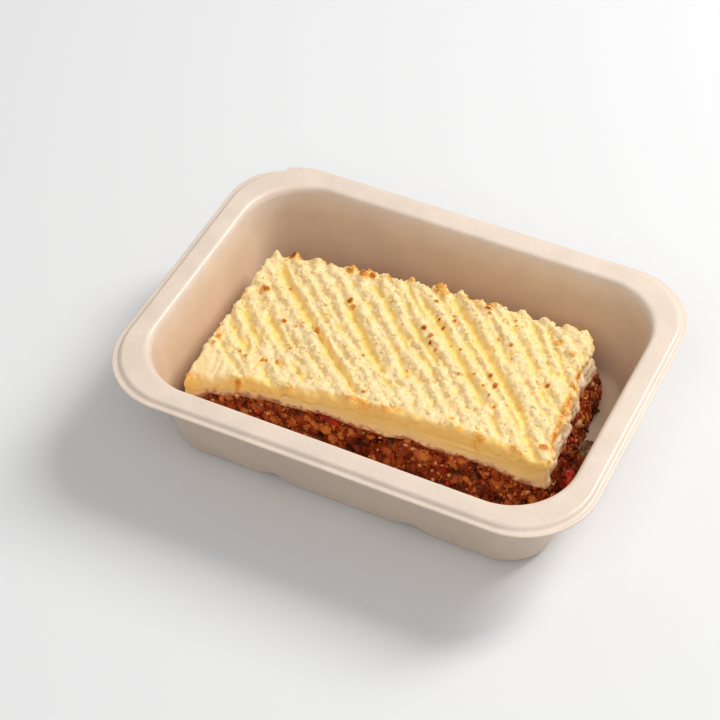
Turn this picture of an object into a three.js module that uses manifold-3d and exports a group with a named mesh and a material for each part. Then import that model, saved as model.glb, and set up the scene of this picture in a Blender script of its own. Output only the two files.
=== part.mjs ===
// A ready-meal portion: a rectangular slab of minced-meat pie with a fork-ridged
// mashed-potato top, in its own tray of moulded plant fibre.
//
// Millimetres, +Z up. X runs along the tray's long sides, Y along its short sides.
// The origin is the centre of the tray's flat underside.
import * as THREE from "three";
import { ImprovedNoise } from "three/addons/math/ImprovedNoise.js";
import Module from "manifold-3d";

// ---------------------------------------------------------------- driving dimensions

const TRAY = {
  length: 187, // over the flange
  width: 137,
  height: 43.7,
  cornerRadius: 27.5, // of the flange's outer edge
  wall: 0.95, // thickness of the moulded fibre
  footInset: 18.5, // from the flange's edge to where the wall's line meets the base plane
  topInset: 11.6, // the same at the flange, so the wall leans outwards
  footRadius: 5, // outside radius between the wall and the base
  baseCornerRadius: 16.5,
  mouthRadius: 26, // plan radius of the wall just under the flange
};

const FLANGE = {
  edge: 0.85, // thickness of the cut edge
  ledgeDrop: 1.45, // the outer ledge lies this far below the flat band
  ledgeWidth: 1.7,
  bandStart: 3.1, // the flat band runs between these two insets
  bandEnd: 7.8,
  rollDrop: 3.4, // how far the inner roll has turned down where it meets the wall
  wallBreak: 24, // height at which the wall has one ring more, for its corners to follow
};

// Two shallow channels cross the base and show as arches at the foot of the long walls.
const CHANNEL = { centre: 27.5, halfWidth: 8, height: 2.3, fadeStart: 1.2, fadeHeight: 9 };

const SLAB = {
  turn: THREE.MathUtils.degToRad(5), // the slab lies a little askew in the tray
  halfLength: 73,
  topHeight: 29.0, // mean height of the mash above the table at the slab's two ends
  crown: 3.0, // how much higher the middle of its length stands
  floorGap: 0.3,
  layerGap: 0.3, // between the mash and the mince
  cornerRadius: 4,
};

// The slab's four top corners in its own turned axes, from the front left anticlockwise.
const SLAB_CORNERS = [
  [-73.0, -34.6],
  [65.4, -31.0],
  [63.5, 36.0],
  [-66.4, 36.6],
];

// How far the middle of each side bows out, how it flares towards the tray's floor and how
// ragged it is: the front is a clean, hollow cut, the right side is torn.
const SIDES = {
  front: { bow: -4.3, mashFlare: 0.05, minceFlare: 0.8, mashRough: 0.4, minceRough: 1.1 },
  right: { bow: 0.4, mashFlare: 0.19, minceFlare: 4.6, mashRough: 1.5, minceRough: 1.8 },
  back: { bow: 1.0, mashFlare: 0.06, minceFlare: 1.0, mashRough: 1.0, minceRough: 1.2 },
  left: { bow: 0.3, mashFlare: 0.03, minceFlare: 0.6, mashRough: 0.7, minceRough: 1.1 },
};

const RIDGES = {
  direction: THREE.MathUtils.degToRad(-45), // along the ridges, in the slab's axes
  pitch: 6.6,
  depth: 2.3,
  wander: 1.5, // how far a ridge strays from its straight line
};

// The mash meets the mince at this height, higher left of the middle and lower at the ends.
const INTERFACE = {
  height: 20.3,
  hump: 3.4,
  humpAt: -42,
  humpReach: 30,
  leftDrop: 6.5,
  rightDrop: 4.0,
  wave: 0.9,
};

// Loose pieces at the foot of the torn right side: centre, half sizes, turn about Z.
const LOOSE_PIECES = {
  red_pepper_chunk: { centre: [69.6, -7.4], half: [3.1, 4.1, 3.7], turn: 0.5, colour: 0x9c1a12 },
  red_pepper_sliver: { centre: [67.6, -17.6], half: [2.0, 4.3, 1.5], turn: -0.35, colour: 0xa8301c },
  onion_chunk: { centre: [71.0, 9.6], half: [2.1, 4.9, 2.6], turn: 0.15, colour: 0x5a3420 },
};
const CRUMB_HEAP = { centre: [69.9, 0.6], half: [3.4, 3.6, 2.9] };
const LUMP = { swell: 0.22, seat: 0.85 }; // how uneven, and how deep each sits in the floor

// ---------------------------------------------------------------- small tools

const noise = new ImprovedNoise();
const wasm = await Module();
wasm.setup();

/** Smooth noise between about -1 and 1 with features of the given size. */
function bumps(x, y, z, size) {
  return 1.6 * noise.noise(x / size + 7.3, y / size + 3.1, z / size + 11.7);
}

const mix = (a, b, t) => a + (b - a) * t;

/** A closed surface from positions and triangles as a manifold-3d solid. */
function solidFrom(positions, triangles) {
  const mesh = new wasm.Mesh({
    numProp: 3,
    vertProperties: new Float32Array(positions.flat()),
    triVerts: new Uint32Array(triangles.flat()),
  });
  return new wasm.Manifold(mesh);
}

function geometryOf(solid) {
  const mesh = solid.getMesh();
  const geometry = new THREE.BufferGeometry();
  geometry.setAttribute("position", new THREE.BufferAttribute(mesh.vertProperties, 3));
  geometry.setIndex(new THREE.BufferAttribute(mesh.triVerts, 1));
  geometry.computeVertexNormals();
  return geometry;
}

/** Triangles that join closed rings of equal point counts, one ring after another. */
function bandsBetween(ringCount, pointCount) {
  const triangles = [];
  for (let ring = 0; ring + 1 < ringCount; ring++)
    for (let i = 0; i < pointCount; i++) {
      const next = (i + 1) % pointCount;
      const low = ring * pointCount;
      const high = low + pointCount;
      triangles.push([low + i, low + next, high + next]);
      triangles.push([low + i, high + next, high + i]);
    }
  return triangles;
}

/** A lofted body from rings that run anticlockwise and rise, closed by flat-cut caps. */
function loft(rings) {
  const count = rings[0].length;
  const triangles = bandsBetween(rings.length, count);
  const capOf = (ring) =>
    THREE.ShapeUtils.triangulateShape(ring.map(([x, y]) => new THREE.Vector2(x, y)), []);
  const top = (rings.length - 1) * count;
  for (const [a, b, c] of capOf(rings[0])) triangles.push([a, c, b]);
  for (const [a, b, c] of capOf(rings.at(-1))) triangles.push([top + a, top + b, top + c]);
  return solidFrom(rings.flat(), triangles);
}

/** A block with a flat bottom and a top that follows height(x, y), on a turned grid. */
function reliefBlock({ turn, halfU, halfV, stepU, stepV, bottom, height }) {
  const cellsU = Math.round((2 * halfU) / stepU);
  const cellsV = Math.round((2 * halfV) / stepV);
  const point = (i, j, top) => {
    const u = mix(-halfU, halfU, i / cellsU);
    const v = mix(-halfV, halfV, j / cellsV);
    const x = u * Math.cos(turn) - v * Math.sin(turn);
    const y = u * Math.sin(turn) + v * Math.cos(turn);
    return [x, y, top ? height(x, y) : bottom];
  };
  const positions = [];
  for (let j = 0; j <= cellsV; j++)
    for (let i = 0; i <= cellsU; i++) positions.push(point(i, j, true));
  const triangles = [];
  const at = (i, j) => j * (cellsU + 1) + i;
  for (let j = 0; j < cellsV; j++)
    for (let i = 0; i < cellsU; i++) {
      triangles.push([at(i, j), at(i + 1, j), at(i + 1, j + 1)]);
      triangles.push([at(i, j), at(i + 1, j + 1), at(i, j + 1)]);
    }
  const border = [];
  for (let i = 0; i < cellsU; i++) border.push([i, 0]);
  for (let j = 0; j < cellsV; j++) border.push([cellsU, j]);
  for (let i = cellsU; i > 0; i--) border.push([i, cellsV]);
  for (let j = cellsV; j > 0; j--) border.push([0, j]);
  const first = positions.length;
  for (const [i, j] of border) positions.push(point(i, j, false));
  const centre = positions.push([0, 0, bottom]) - 1;
  border.forEach(([i, j], k) => {
    const [nextI, nextJ] = border[(k + 1) % border.length];
    const low = first + k;
    const nextLow = first + ((k + 1) % border.length);
    triangles.push([low, nextLow, at(nextI, nextJ)]);
    triangles.push([low, at(nextI, nextJ), at(i, j)]);
    triangles.push([centre, nextLow, low]);
  });
  return solidFrom(positions, triangles);
}

// ---------------------------------------------------------------- the tray

const CORNER_STEPS = 8;
const CHANNEL_STEPS = 6;
const FOOT_STEPS = 4;

/** A rounded rectangle of the tray, anticlockwise, symmetric about both axes. */
function trayRing(inset, z, radius) {
  const halfX = TRAY.length / 2 - inset;
  const halfY = TRAY.width / 2 - inset;
  const corner = [];
  for (let k = 0; k <= CORNER_STEPS; k++) {
    const angle = (Math.PI / 2) * (k / CORNER_STEPS);
    const x = halfX - radius * (1 - Math.cos(angle));
    corner.push([x, halfY - radius * (1 - Math.sin(angle))]);
  }
  const overChannels = [];
  for (const side of [1, -1])
    for (let k = 0; k <= CHANNEL_STEPS; k++) {
      const across = CHANNEL.halfWidth * (1 - (2 * k) / CHANNEL_STEPS);
      overChannels.push([side * CHANNEL.centre + across, halfY]);
    }
  const otherCorner = corner.map(([x, y]) => [-x, y]).reverse();
  const back = [...corner, ...overChannels, ...otherCorner];
  const front = back.map(([x, y]) => [x, -y]).reverse();
  return [...back, ...front].map(([x, y]) => [x, y, z + channelRise(x, z)]);
}

/** How far the base and the foot of the walls are lifted where the channels cross. */
function channelRise(x, z) {
  const away = Math.abs(Math.abs(x) - CHANNEL.centre) / CHANNEL.halfWidth;
  if (away >= 1 || z >= CHANNEL.fadeHeight) return 0;
  const fade = 1 - THREE.MathUtils.smoothstep(z, CHANNEL.fadeStart, CHANNEL.fadeHeight);
  return CHANNEL.height * 0.5 * (1 + Math.cos(Math.PI * away)) * fade;
}

/** Inset of the outside of the wall at height z. */
function wallInset(z) {
  return mix(TRAY.footInset, TRAY.topInset, z / TRAY.height);
}

/** The rings of one face of the wall's foot, from the base up, with its rounding. The face
 *  lies inside the outer one by the given offset. */
function footRings(offset, radius) {
  const lean = Math.atan((TRAY.footInset - TRAY.topInset) / TRAY.height);
  const lineInset = wallInset(offset) + offset / Math.cos(lean);
  const tangent = radius * Math.tan((Math.PI / 2 - lean) / 2);
  const rings = [];
  for (let k = 0; k <= FOOT_STEPS; k++) {
    const angle = (Math.PI / 2 - lean) * (k / FOOT_STEPS);
    const z = offset + radius * (1 - Math.cos(angle));
    rings.push([lineInset + tangent - radius * Math.sin(angle), z, planRadius(z)]);
  }
  return rings;
}

/** A body lofted through (inset, height, plan radius) rings. Its first and last faces are
 *  strips from the back side's points to the front side's, so the channels cross them. */
function trayLoft(profile) {
  const rings = profile.map(([inset, z, radius]) => trayRing(inset, z, radius));
  const count = rings[0].length;
  const triangles = bandsBetween(rings.length, count);
  const last = (rings.length - 1) * count;
  for (let k = 0; k + 1 < count / 2; k++) {
    const [a, b, c, d] = [k, k + 1, count - 2 - k, count - 1 - k];
    triangles.push([a, c, b], [a, d, c]);
    triangles.push([last + a, last + b, last + c], [last + a, last + c, last + d]);
  }
  return solidFrom(rings.flat(), triangles);
}

/** Plan radius of the wall's corners at height z. */
function planRadius(z) {
  return mix(TRAY.baseCornerRadius, TRAY.mouthRadius, z / TRAY.height);
}

/** The inside of the tray up to its mouth, kept a gap away from the fibre. */
function cavitySolid(gap) {
  const mouth = TRAY.height - FLANGE.rollDrop;
  return trayLoft([
    ...footRings(TRAY.wall + gap, TRAY.footRadius - TRAY.wall),
    [wallInset(mouth) + TRAY.wall + gap, mouth, TRAY.mouthRadius],
  ]);
}

/** Plan radius of the flange's corners at an inset: it tightens from the edge to the mouth. */
function flangeRadius(inset) {
  return mix(TRAY.cornerRadius, TRAY.mouthRadius, inset / TRAY.topInset);
}

/** The fibre shell: up the outside, round the flange and down the inside. */
function traySolid() {
  const { edge, ledgeWidth, bandStart, bandEnd, rollDrop, wallBreak } = FLANGE;
  const top = TRAY.height;
  const ledgeTop = top - FLANGE.ledgeDrop;
  const ledgeUnder = ledgeTop - edge;
  const bandUnder = top - TRAY.wall;
  const rollFoot = top - rollDrop;
  const underRoll = rollFoot - 1.2;
  const stepMiddle = mix(ledgeWidth, bandStart, 0.45);
  const flange = [
    [bandEnd + 2.1, bandUnder - 1.15],
    [bandEnd, bandUnder],
    [bandStart, bandUnder],
    [ledgeWidth + 0.4, ledgeUnder],
    [0, ledgeUnder],
    [0, ledgeTop],
    [ledgeWidth, ledgeTop + 0.1],
    [stepMiddle, top - 0.5],
    [bandStart, top - 0.05],
    [bandEnd, top],
    [bandEnd + 1.3, top - 0.35],
    [bandEnd + 2.6, top - 1.2],
    [bandEnd + 3.5, top - 2.3],
  ];
  return trayLoft([
    ...footRings(0, TRAY.footRadius),
    [wallInset(wallBreak), wallBreak, planRadius(wallBreak)],
    [wallInset(underRoll), underRoll, TRAY.mouthRadius],
    ...flange.map(([inset, z]) => [inset, z, flangeRadius(inset)]),
    [wallInset(rollFoot) + TRAY.wall, rollFoot, TRAY.mouthRadius],
    [wallInset(wallBreak) + TRAY.wall, wallBreak, planRadius(wallBreak)],
    ...footRings(TRAY.wall, TRAY.footRadius - TRAY.wall).reverse(),
  ]);
}

// ---------------------------------------------------------------- the pie

const SIDE_ORDER = ["front", "right", "back", "left"];
const OUTLINE_STEP = 4.3;

/** Points round the slab with the outward direction and the weight of each side there. */
function slabOutline() {
  const corners = SLAB_CORNERS.map(([x, y]) => new THREE.Vector2(x, y));
  const points = [];
  corners.forEach((corner, k) => {
    const before = corners[(k + 3) % 4];
    const after = corners[(k + 1) % 4];
    const inDirection = corner.clone().sub(before).normalize();
    const outDirection = after.clone().sub(corner).normalize();
    const arcStart = corner.clone().addScaledVector(inDirection, -SLAB.cornerRadius);
    const arcEnd = corner.clone().addScaledVector(outDirection, SLAB.cornerRadius);
    const arc = new THREE.QuadraticBezierCurve(arcStart, corner, arcEnd);
    const sideBefore = SIDE_ORDER[(k + 3) % 4];
    const side = SIDE_ORDER[k];
    for (const t of [0, 0.5]) {
      const tangent = arc.getTangent(t);
      const normal = new THREE.Vector2(tangent.y, -tangent.x);
      points.push({ place: arc.getPoint(t), normal, sides: [sideBefore, side], share: t });
    }
    const edgeEnd = after.clone().addScaledVector(outDirection, -SLAB.cornerRadius);
    const steps = Math.round(arcEnd.distanceTo(edgeEnd) / OUTLINE_STEP);
    const normal = new THREE.Vector2(outDirection.y, -outDirection.x);
    for (let i = 0; i < steps; i++) {
      const bow = SIDES[side].bow * Math.sin((Math.PI * i) / steps);
      const place = arcEnd.clone().lerp(edgeEnd, i / steps).addScaledVector(normal, bow);
      points.push({ place, normal, sides: [side, side], share: 0 });
    }
  });
  return points;
}

/** One value of the side table at an outline point, mixed round the corners. */
function sideValue(point, key) {
  return mix(SIDES[point.sides[0]][key], SIDES[point.sides[1]][key], point.share);
}

/** Height of the boundary between the mash and the mince, in the slab's axes. */
function interfaceHeight(x, y) {
  const wave = INTERFACE.wave * bumps(x, y, 9, 11);
  const hump = INTERFACE.hump * Math.exp(-(((x - INTERFACE.humpAt) / INTERFACE.humpReach) ** 2));
  const leftDrop = INTERFACE.leftDrop * THREE.MathUtils.smoothstep(-x, 58, 74);
  const rightDrop = INTERFACE.rightDrop * THREE.MathUtils.smoothstep(x, 10, 66);
  return INTERFACE.height + wave + hump - leftDrop - rightDrop;
}

/** Height of the fork-ridged top: round ridges with narrow furrows between them. */
function ridgeHeight(x, y) {
  const along = x * Math.cos(RIDGES.direction) + y * Math.sin(RIDGES.direction);
  const across = -x * Math.sin(RIDGES.direction) + y * Math.cos(RIDGES.direction);
  const stray = RIDGES.wander * bumps(along * 0.5, across, 2, 26);
  const phase = (across + stray) / RIDGES.pitch;
  const round = Math.sqrt(Math.abs(Math.sin(Math.PI * phase)));
  const depth = RIDGES.depth * (0.75 + 0.35 * bumps(x, y, 4, 21));
  const crown = SLAB.crown * (1 - (x / SLAB.halfLength) ** 2);
  return SLAB.topHeight + crown + depth * (round - 0.55) + 0.7 * bumps(x, y, 1, 15);
}

const MASH_LEVELS = [8, 16, 24, 36];
const MINCE_LEVELS = [0, 4, 8, 12.5, 17, 27];
const MASH_GRAIN = { large: 13, fine: 5 };
const MINCE_GRAIN = { large: 11, fine: 4.5 };
const MINCE_TUCK = 1.2; // the mince lies this far inside the mash above it

/** The outline pushed out by outAt(point, z) at each level, as rings for a loft. */
function slabRings(levels, outAt) {
  const outline = slabOutline();
  return levels.map((z) =>
    outline.map((point) => {
      const out = outAt(point, z);
      const { place, normal } = point;
      return [place.x + normal.x * out, place.y + normal.y * out, z];
    }),
  );
}

/** The mash, with its torn or cut sides and its ridged top. */
function mashSolid() {
  const rings = slabRings(MASH_LEVELS, (point, z) => {
    const { x, y } = point.place;
    const flare = sideValue(point, "mashFlare") * Math.max(0, SLAB.topHeight - z);
    const grain = 0.7 * bumps(x, y, z, MASH_GRAIN.large) + 0.5 * bumps(x, y, z, MASH_GRAIN.fine);
    return flare + sideValue(point, "mashRough") * grain;
  });
  const ridged = reliefBlock({
    turn: RIDGES.direction,
    halfU: 78,
    halfV: 78,
    stepU: 9.75,
    stepV: RIDGES.pitch / 4,
    bottom: 0,
    height: ridgeHeight,
  });
  return loft(rings).intersect(ridged).subtract(interfaceBlock(SLAB.layerGap / 2));
}

/** The mince, crumbly all round and spread outwards at its foot. */
function minceSolid() {
  const top = MINCE_LEVELS.at(-1);
  const drop = SLAB.topHeight - INTERFACE.height;
  const rings = slabRings(MINCE_LEVELS, (point, z) => {
    const { x, y } = point.place;
    const underMash = sideValue(point, "mashFlare") * drop - MINCE_TUCK;
    const spread = sideValue(point, "minceFlare") * (1 - z / top);
    const large = 0.8 * bumps(x, y, 3 * z, MINCE_GRAIN.large);
    const fine = 0.6 * bumps(x, y, 2 * z, MINCE_GRAIN.fine);
    return underMash + spread + sideValue(point, "minceRough") * (large + fine);
  });
  return loft(rings).intersect(interfaceBlock(-SLAB.layerGap / 2));
}

/** Everything below the boundary between the layers, raised by the given amount. */
function interfaceBlock(raised) {
  return reliefBlock({
    turn: 0,
    halfU: 84,
    halfV: 50,
    stepU: 12,
    stepV: 12.5,
    bottom: -4,
    height: (x, y) => interfaceHeight(x, y) + raised,
  });
}

// ---------------------------------------------------------------- loose pieces

/** An uneven rounded lump, sunk a little so that the tray's inside cuts it a flat seat. */
function lump({ centre, half, turn = 0 }, grow = 0) {
  const geometry = new THREE.IcosahedronGeometry(1, 2);
  const source = geometry.getAttribute("position");
  const keys = new Map();
  const positions = [];
  const corners = [];
  for (let i = 0; i < source.count; i++) {
    const unit = [source.getX(i), source.getY(i), source.getZ(i)];
    const key = unit.map((value) => value.toFixed(4)).join();
    if (!keys.has(key)) {
      keys.set(key, positions.length);
      const wobble = bumps(unit[0] + centre[0], unit[1] + centre[1], unit[2], 0.8);
      const swell = 1 + LUMP.swell * wobble;
      const [x, y, z] = unit.map((value, axis) => value * (half[axis] * swell + grow));
      positions.push([
        centre[0] + x * Math.cos(turn) - y * Math.sin(turn),
        centre[1] + x * Math.sin(turn) + y * Math.cos(turn),
        TRAY.wall + half[2] * LUMP.seat + z,
      ]);
    }
    corners.push(keys.get(key));
  }
  const triangles = [];
  for (let i = 0; i < corners.length; i += 3) triangles.push(corners.slice(i, i + 3));
  return solidFrom(positions, triangles);
}

// ---------------------------------------------------------------- the scene graph

/** Adds one solid to the group as a named mesh. */
function addPart(group, name, solid, colour, roughness) {
  const material = new THREE.MeshStandardMaterial({ color: colour, roughness, metalness: 0 });
  const mesh = new THREE.Mesh(geometryOf(solid), material);
  mesh.name = name;
  group.add(mesh);
}

/** The solid in the tray's axes, for cutting against what lies outside the slab. */
function turned(solid, angle) {
  return solid.rotate([0, 0, THREE.MathUtils.radToDeg(angle)]);
}

const meal = new THREE.Group();
addPart(meal, "tray", traySolid(), 0xdccbb6, 0.8);

const clearance = 0.35; // round each loose piece
const cavity = cavitySolid(SLAB.floorGap);
const pieces = Object.entries(LOOSE_PIECES);
let mince = turned(minceSolid(), SLAB.turn).intersect(cavity);
let mash = turned(mashSolid(), SLAB.turn);
let heap = lump(CRUMB_HEAP).intersect(cavity);
for (const [, piece] of pieces) {
  const room = lump(piece, clearance);
  mince = mince.subtract(room);
  mash = mash.subtract(room);
  heap = heap.subtract(room);
}
const heapRoom = lump(CRUMB_HEAP, clearance);
mince = mince.subtract(heapRoom);
mash = mash.subtract(heapRoom);

addPart(meal, "mash_layer", mash, 0xf0dc9a, 0.7);
addPart(meal, "mince_layer", mince, 0x6e2c12, 0.55);
addPart(meal, "loose_mince", heap, 0x5c2814, 0.55);
for (const [name, piece] of pieces)
  addPart(meal, name, lump(piece).intersect(cavity), piece.colour, 0.45);

export default meal;
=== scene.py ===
"""The finish and the fine shape of a ready-meal pie portion in its moulded fibre tray.

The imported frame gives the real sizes. Plan shapes are worked out in millimetres in the slab's own
axes, with X along its length and Y towards its back, and made metres in the frame's axes at the end.
"""
import functools
import itertools
import math

import bpy
import numpy as np
from bpy.props import FloatProperty, FloatVectorProperty, PointerProperty
from mathutils import Matrix, Vector


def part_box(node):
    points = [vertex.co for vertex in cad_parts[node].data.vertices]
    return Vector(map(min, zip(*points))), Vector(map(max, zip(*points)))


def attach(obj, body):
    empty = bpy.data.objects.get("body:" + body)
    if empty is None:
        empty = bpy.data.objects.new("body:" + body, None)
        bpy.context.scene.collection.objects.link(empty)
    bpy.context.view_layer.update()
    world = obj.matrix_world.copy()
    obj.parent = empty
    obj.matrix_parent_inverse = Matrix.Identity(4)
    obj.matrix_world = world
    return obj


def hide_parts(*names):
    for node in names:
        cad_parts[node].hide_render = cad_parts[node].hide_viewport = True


bl_info = {
    "name": "Ready-meal pie portion",
    "version": (1, 0, 0),
    "blender": (4, 5, 0),
    "location": "3D View > Sidebar > Pie",
    "description": "Makes a mashed potato and mince pie portion in a moulded fibre tray",
    "category": "Add Mesh",
}

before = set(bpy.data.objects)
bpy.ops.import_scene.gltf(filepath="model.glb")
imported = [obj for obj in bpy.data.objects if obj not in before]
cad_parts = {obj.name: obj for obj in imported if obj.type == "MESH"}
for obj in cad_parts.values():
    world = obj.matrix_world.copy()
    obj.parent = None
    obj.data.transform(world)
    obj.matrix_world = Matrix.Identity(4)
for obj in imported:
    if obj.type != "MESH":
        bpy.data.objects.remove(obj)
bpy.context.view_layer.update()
MM = 0.001
PER_CM2 = 1e4  # makes a number for each square centimetre one for each square metre
TRAY_LOW, TRAY_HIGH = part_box("tray")
TRAY_SIZE = (TRAY_HIGH - TRAY_LOW) / MM

# ---- the slab's plan, in millimetres

SLAB_TURN = math.radians(5)
SLAB_HALF_LENGTH = 73.0
SLAB_WIDTH = 70
FRONT_LEFT = np.array([-73.0, -34.6])
FRONT_RIGHT = np.array([65.4, -31.0])
BACK_RIGHT = np.array([63.5, 36.0])
BACK_LEFT = np.array([-66.4, 36.6])
SIDE_BOW = {"front": -4.3, "right": 0.4, "back": 1.0, "left": 0.3}
CORNER_PULL = 1.3  # how far each corner is drawn in
CORNER_REACH = 3.2

# Height of the boundary between mince and mash, at places along the slab's length.
BOUNDARY_PLACES = (-74, -68, -63, -57, -50, -38, -30, -15, -7, 4, 14, 20, 27, 46, 53, 61, 70)
BOUNDARY_HEIGHTS = (
    15, 18, 23, 22.3, 24.4, 24.4, 23.2, 22.8, 20.9, 19.5, 21.8, 20.4, 19.4, 19.4, 18.5, 17, 16,
)

# Strokes of the fork: start and end of each furrow, how far its middle bows to the left of the
# stroke, its width and its depth.
FORK_STROKES = (
    (-69.5, -11.0, -51.0, -30.0, 0.0, 3.0, 1.6), (-68.5, -2.0, -54.0, -16.5, 0.0, 4.8, 2.0),
    (-65.0, 6.0, -50.5, -13.5, -0.6, 4.6, 2.1), (-57.0, 7.0, -40.0, -12.5, -0.3, 4.8, 2.1),
    (-47.0, -0.5, -34.0, -12.0, 0.0, 3.6, 1.3), (-64.0, 13.0, -57.0, 4.0, 0.0, 3.6, 1.5),
    (-66.0, 26.0, -60.5, 19.5, 0.0, 3.0, 1.4), (-48.0, -21.0, -38.0, -30.5, 0.3, 3.8, 1.9),
    (-44.0, -16.5, -38.0, -22.5, 0.0, 2.6, 1.4), (-37.5, -15.0, -28.0, -25.0, 0.0, 3.4, 1.7),
    (-61.0, 30.5, -36.5, 4.0, -0.5, 4.6, 2.6), (-39.0, 6.5, -8.5, -24.0, 0.3, 2.6, 2.7),
    (-52.5, 28.5, -38.5, 14.0, 0.0, 3.0, 1.6), (-37.0, 15.5, -22.5, 1.0, 0.0, 2.8, 1.3),
    (-32.0, 32.0, -25.5, 23.5, 0.0, 2.8, 1.5), (-27.5, 18.5, -2.5, -11.5, -0.8, 4.6, 2.4),
    (-24.0, 32.5, 2.5, 2.5, 0.5, 3.8, 2.0), (-19.5, 19.0, -9.5, 9.0, 0.0, 3.0, 1.5),
    (-12.0, 36.0, 1.5, 21.0, 0.0, 3.8, 1.9), (-4.5, 19.5, 14.5, -0.5, 0.3, 3.6, 2.2),
    (-4.0, 31.0, 36.5, -13.5, 1.4, 4.4, 2.3), (38.0, -15.0, 47.5, -25.5, 0.0, 3.4, 1.7),
    (7.5, 35.0, 52.5, -15.5, 1.2, 4.4, 2.5), (50.5, -13.5, 61.5, -29.5, -0.3, 3.8, 2.2),
    (14.5, 19.5, 40.5, -7.5, 0.9, 3.4, 1.7), (42.5, -9.5, 54.0, -21.0, 0.0, 3.2, 1.6),
    (24.5, 29.5, 33.5, 19.0, 0.0, 2.4, 1.3), (29.0, 36.5, 38.0, 23.0, 0.0, 3.8, 1.7),
    (39.5, 21.5, 51.5, 6.5, 0.3, 3.2, 1.6), (37.5, 36.0, 55.0, 10.0, 0.3, 3.4, 1.8),
    (45.0, 33.5, 63.0, 6.5, 0.0, 3.4, 1.7), (52.5, 4.0, 58.0, -4.5, 0.0, 3.2, 2.0),
    (56.5, -5.0, 62.5, -13.5, 0.0, 2.4, 1.2), (-1.5, 0.5, 6.5, -11.5, 0.0, 3.8, 1.9),
    (-3.5, -11.5, 3.5, -18.5, 0.0, 3.8, 1.9), (-14.0, -10.0, -8.5, -16.5, 0.0, 2.6, 1.1),
    (21.5, -5.5, 28.5, -13.0, 0.0, 2.8, 1.4), (12.0, -12.0, 19.0, -20.0, 0.0, 2.6, 1.0),
    (26.0, -17.0, 33.0, -25.0, 0.0, 2.6, 1.0),
)

# Curls left by the back of a spoon on the smooth front left corner, laid out like the strokes.
CORNER_CURLS = (
    (-67.5, -15.0, -64.0, -31.5, 1.6, 2.0, 0.6), (-63.5, -20.0, -62.5, -32.5, 1.5, 1.6, 0.55),
    (-60.0, -23.5, -58.0, -32.5, 1.0, 1.4, 0.45),
)

# Bits that stand out in the mince's cut front, by kind: place along the front and height, length,
# width, how far the right end leans up in degrees, and tone.
FRONT_BITS = {
    "onion": (
        (5.4, 11.2, 9.4, 2.7, -44, 0.95), (26.5, 6.8, 3.4, 2.6, -20, 0.8),
        (-2.2, 17.1, 2.4, 3.2, 0, 0.6), (-45.5, 12.0, 3.0, 2.2, 10, 0.5),
    ),
    "meat": (
        (38.0, 6.9, 8.6, 3.4, -28, 0.97), (-15.1, 23.2, 5.8, 2.7, -50, 1.0),
        (-2.5, 20.0, 18.0, 2.6, -5, 0.62), (-31.6, 14.2, 5.6, 4.4, 10, 0.95),
        (-19.0, 13.6, 5.4, 4.6, -30, 0.92), (-12.8, 12.4, 3.8, 4.8, 0, 0.95),
        (-8.2, 15.6, 4.8, 3.8, 15, 0.95), (-38.3, 13.4, 5.2, 3.8, -15, 0.88),
        (20.7, 9.2, 5.4, 3.2, 25, 0.97), (-50.0, 15.0, 5.0, 4.0, 20, 0.85),
        (9.5, 15.0, 3.4, 4.6, 60, 0.95), (54.0, 4.6, 6.0, 3.4, -10, 0.75),
        (-26.0, 18.4, 5.2, 3.2, -25, 0.7), (47.0, 8.0, 5.0, 3.0, -35, 0.7),
        (27.5, 11.0, 4.4, 3.0, -40, 0.6),
    ),
    "pepper": (
        (-17.4, 19.6, 8.4, 2.8, -17, 0.6), (45.0, 12.2, 5.0, 2.0, -12, 0.3),
        (-29.5, 8.5, 3.6, 2.4, 10, 0.3),
    ),
    "herb": (
        (14.8, 14.2, 5.2, 2.8, -8, 0.5), (-27.5, 11.6, 3.4, 2.4, 30, 0.2),
    ),
    "granule": (
        (12.2, 17.4, 2.8, 2.3, 10, 1.0), (16.8, 15.9, 1.7, 1.6, 0, 0.9), (18.3, 12.5, 2.2, 2.0, 0, 0.9),
        (10.5, 7.6, 2.1, 1.9, 0, 0.7), (23.0, 16.6, 1.8, 1.6, 0, 0.6), (26.5, 16.0, 2.2, 2.0, 0, 0.9),
        (20.7, 19.6, 1.6, 1.5, 0, 0.5), (31.5, 16.6, 1.7, 1.6, 0, 0.6), (15.6, 18.8, 1.8, 1.6, 0, 0.5),
        (24.6, 18.2, 1.5, 1.4, 0, 0.6), (12.0, 10.2, 1.5, 1.5, 0, 0.6), (29.0, 15.4, 1.5, 1.4, 0, 0.5),
        (18.6, 18.0, 1.4, 1.3, 0, 0.5), (33.6, 16.2, 1.4, 1.3, 0, 0.5), (2.4, 17.4, 1.5, 1.3, 0, 0.8),
        (21.6, 14.2, 1.4, 1.4, 0, 0.4),
    ),
}

# Hollows in the cut front, deepened and darkened with painted shade: place along it, height and radius.
FRONT_HOLLOWS = (
    (-4.7, 10.4, 3.2), (-10.0, 5.8, 2.6), (6.6, 17.2, 2.6), (1.0, 15.2, 2.0), (19.6, 11.0, 1.7),
    (32.0, 11.4, 3.0), (-21.9, 8.6, 2.6), (-32.2, 21.4, 1.7), (49.0, 5.0, 2.4), (-55.0, 10.0, 2.2),
    (40.0, 12.6, 2.0),
)

MINCE_FLOOR = 1.3
WAVE_PITCH = 6.0
WAVE_DEPTH = 1.7

# Ridge ends that stand out along the slab's back edge: x and size.
BACK_TIPS = (
    (-66, 1.5), (-57, 1.2), (-46, 1.0), (-34, 1.3), (-27, 1.3), (-20, 1.2), (-10, 1.2), (2, 1.6),
    (10, 1.2), (24, 1.3), (34, 1.1), (44, 1.1), (53, 0.9), (60, 1.2),
)

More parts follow.
